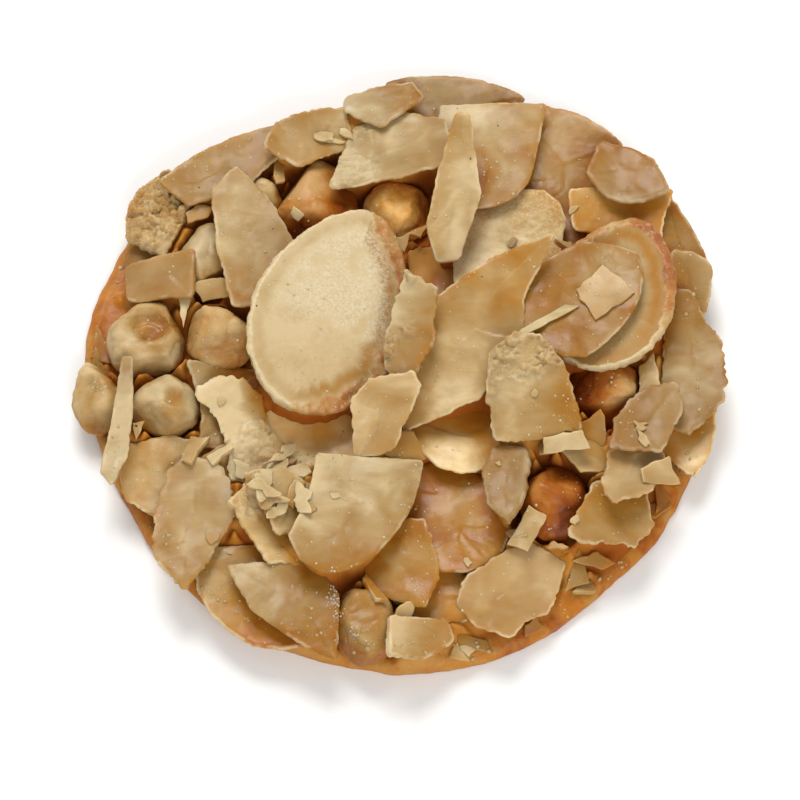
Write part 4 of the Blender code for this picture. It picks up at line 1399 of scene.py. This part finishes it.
relief = Relief()
for piece in pieces:
    relief.add(piece.data)
rim_angles, rim_reach = rim_outline(ROUND_STEPS)
rim_here = np.interp(np.arctan2(relief.y, relief.x), np.append(rim_angles, math.pi),
                     np.append(rim_reach, rim_reach[0]))
from_rim = rim_here - np.hypot(relief.x, relief.y)
pieces.append(tuck_shards(relief, from_rim).place(FLESH["almond_tan"], "almond_tan"))
pile_level, _ = blurred(relief.top, ~np.isnan(relief.top), 1.6 * MM)
# Low places on each piece are toasted darker: partly pooled caramel, partly painted shade.
for piece in pieces:
    if piece.data.materials[0] != CUT_ALMOND:
        toast_low_places_with_painted_shade(piece, pile_level)
poured = caramel_mesh(relief, from_rim, rim_angles, rim_reach)
pieces.append(place("caramel", poured, CARAMEL, "caramel", "caramel_base"))
pieces.append(lay_chips(relief).place(FLESH["almond_pale"], "almond_pale"))

skin = Skin(pieces)
CRUMB = crumb("crumb", CRUMB_TONES)
SUGAR = crumb("sugar_grain", SUGAR_TONES)
SPECK = crumb("dark_speck", SPECK_TONES)
# How many grains, where, the least and largest size in millimetres, how many are small, how flat
# and how toasted
GRAINS = (
    ("crumbs", 1500, lambda: anywhere(2.0), 0.07, 0.38, 3, 0.5, 0.3, CRUMB, "almond_pale"),
    ("rim_crumbs", 170, on_rim, 0.12, 0.6, 2, 0.5, 0.6, CRUMB, "almond_pale"),
    ("sugar_grains", 150, lambda: around(SUGAR_SPOTS), 0.10, 0.34, 3, 0.8, 0.2, SUGAR, "almond_pale"),
    ("dark_specks", 14, lambda: anywhere(0.0), 0.16, 0.32, 3, 0.5, 0.2, SPECK, "nut_toasted"),
)
for name, *how, finish, slot in GRAINS:
    strew(skin, name, *how).place(finish, slot)


# The floor, the lights and the camera

FLOOR_REACH = 1.5
FLOOR_DROP = 0.02 * MM
PAPER = ((0.79, 0.79, 0.79), (0.81, 0.81, 0.81))
WHITE = (1, 1, 1, 1)
ROOM_LIGHT = 0.54
# Name, place, size, power and colour of each lamp
LAMPS = (
    ("window", (-0.07, 0.38, 0.50), 0.36, 3.65, (1.0, 0.985, 0.96)),
    ("bounce", (0.15, -0.52, 0.42), 0.5, 3.2, (1.0, 0.97, 0.92)),
)
LENS = 900
SENSOR_WIDTH = 36
VIEW_WIDTH = 80 * MM
ELEVATION = math.radians(65)
# The spot on the floor that the camera looks at, and how far towards the camera from there the
# view is VIEW_WIDTH wide
AIM = Vector((0, -1.73 * MM, 0))
AIM_LIFT = 1.3 * MM


def lay_floor():
    corners = [(x * FLOOR_REACH, y * FLOOR_REACH, 0) for x, y in ((-1, -1), (1, -1), (1, 1), (-1, 1))]
    mesh = bpy.data.meshes.new("floor")
    mesh.from_pydata(corners, [], [(0, 1, 2, 3)])
    floor = stand("floor", mesh)
    floor.location.z = -FLOOR_DROP
    paper = Finish("white_paper", Specular_IOR_Level=0.1)
    soft = paper.grain(20 * MM)
    mesh.materials.append(paper.done(paper.blend(soft, *PAPER), 0.9 + soft * 0.05, soft, 0.02, 0.1 * MM))


def hang_lamp(name, place, size, power, colour):
    """A round soft lamp that looks at the middle of the cookie."""
    light = bpy.data.lights.new(name, "AREA")
    light.shape = "DISK"
    light.size = size
    light.energy = power
    light.color = colour
    lamp = stand(name, light)
    lamp.location = place
    lamp.rotation_euler = (-Vector(place)).to_track_quat("-Z", "Y").to_euler()


def set_camera():
    camera = bpy.data.cameras.new("camera")
    camera.lens = LENS
    camera.sensor_width = SENSOR_WIDTH
    camera.clip_start = 10 * MM
    back = Vector((0, -math.cos(ELEVATION), math.sin(ELEVATION)))
    viewer = stand("camera", camera)
    viewer.location = AIM + back * AIM_LIFT + back * (LENS / SENSOR_WIDTH * VIEW_WIDTH)
    viewer.rotation_euler = (-back).to_track_quat("-Z", "Y").to_euler()
    bpy.context.scene.camera = viewer


lay_floor()
for lamp in LAMPS:
    hang_lamp(*lamp)
set_camera()

world = bpy.data.worlds.new("studio")
world.use_nodes = True
background = world.node_tree.nodes["Background"]
background.inputs["Color"].default_value = WHITE
background.inputs["Strength"].default_value = ROOM_LIGHT
bpy.context.scene.world = world
bpy.context.scene.view_settings.view_transform = "Standard"
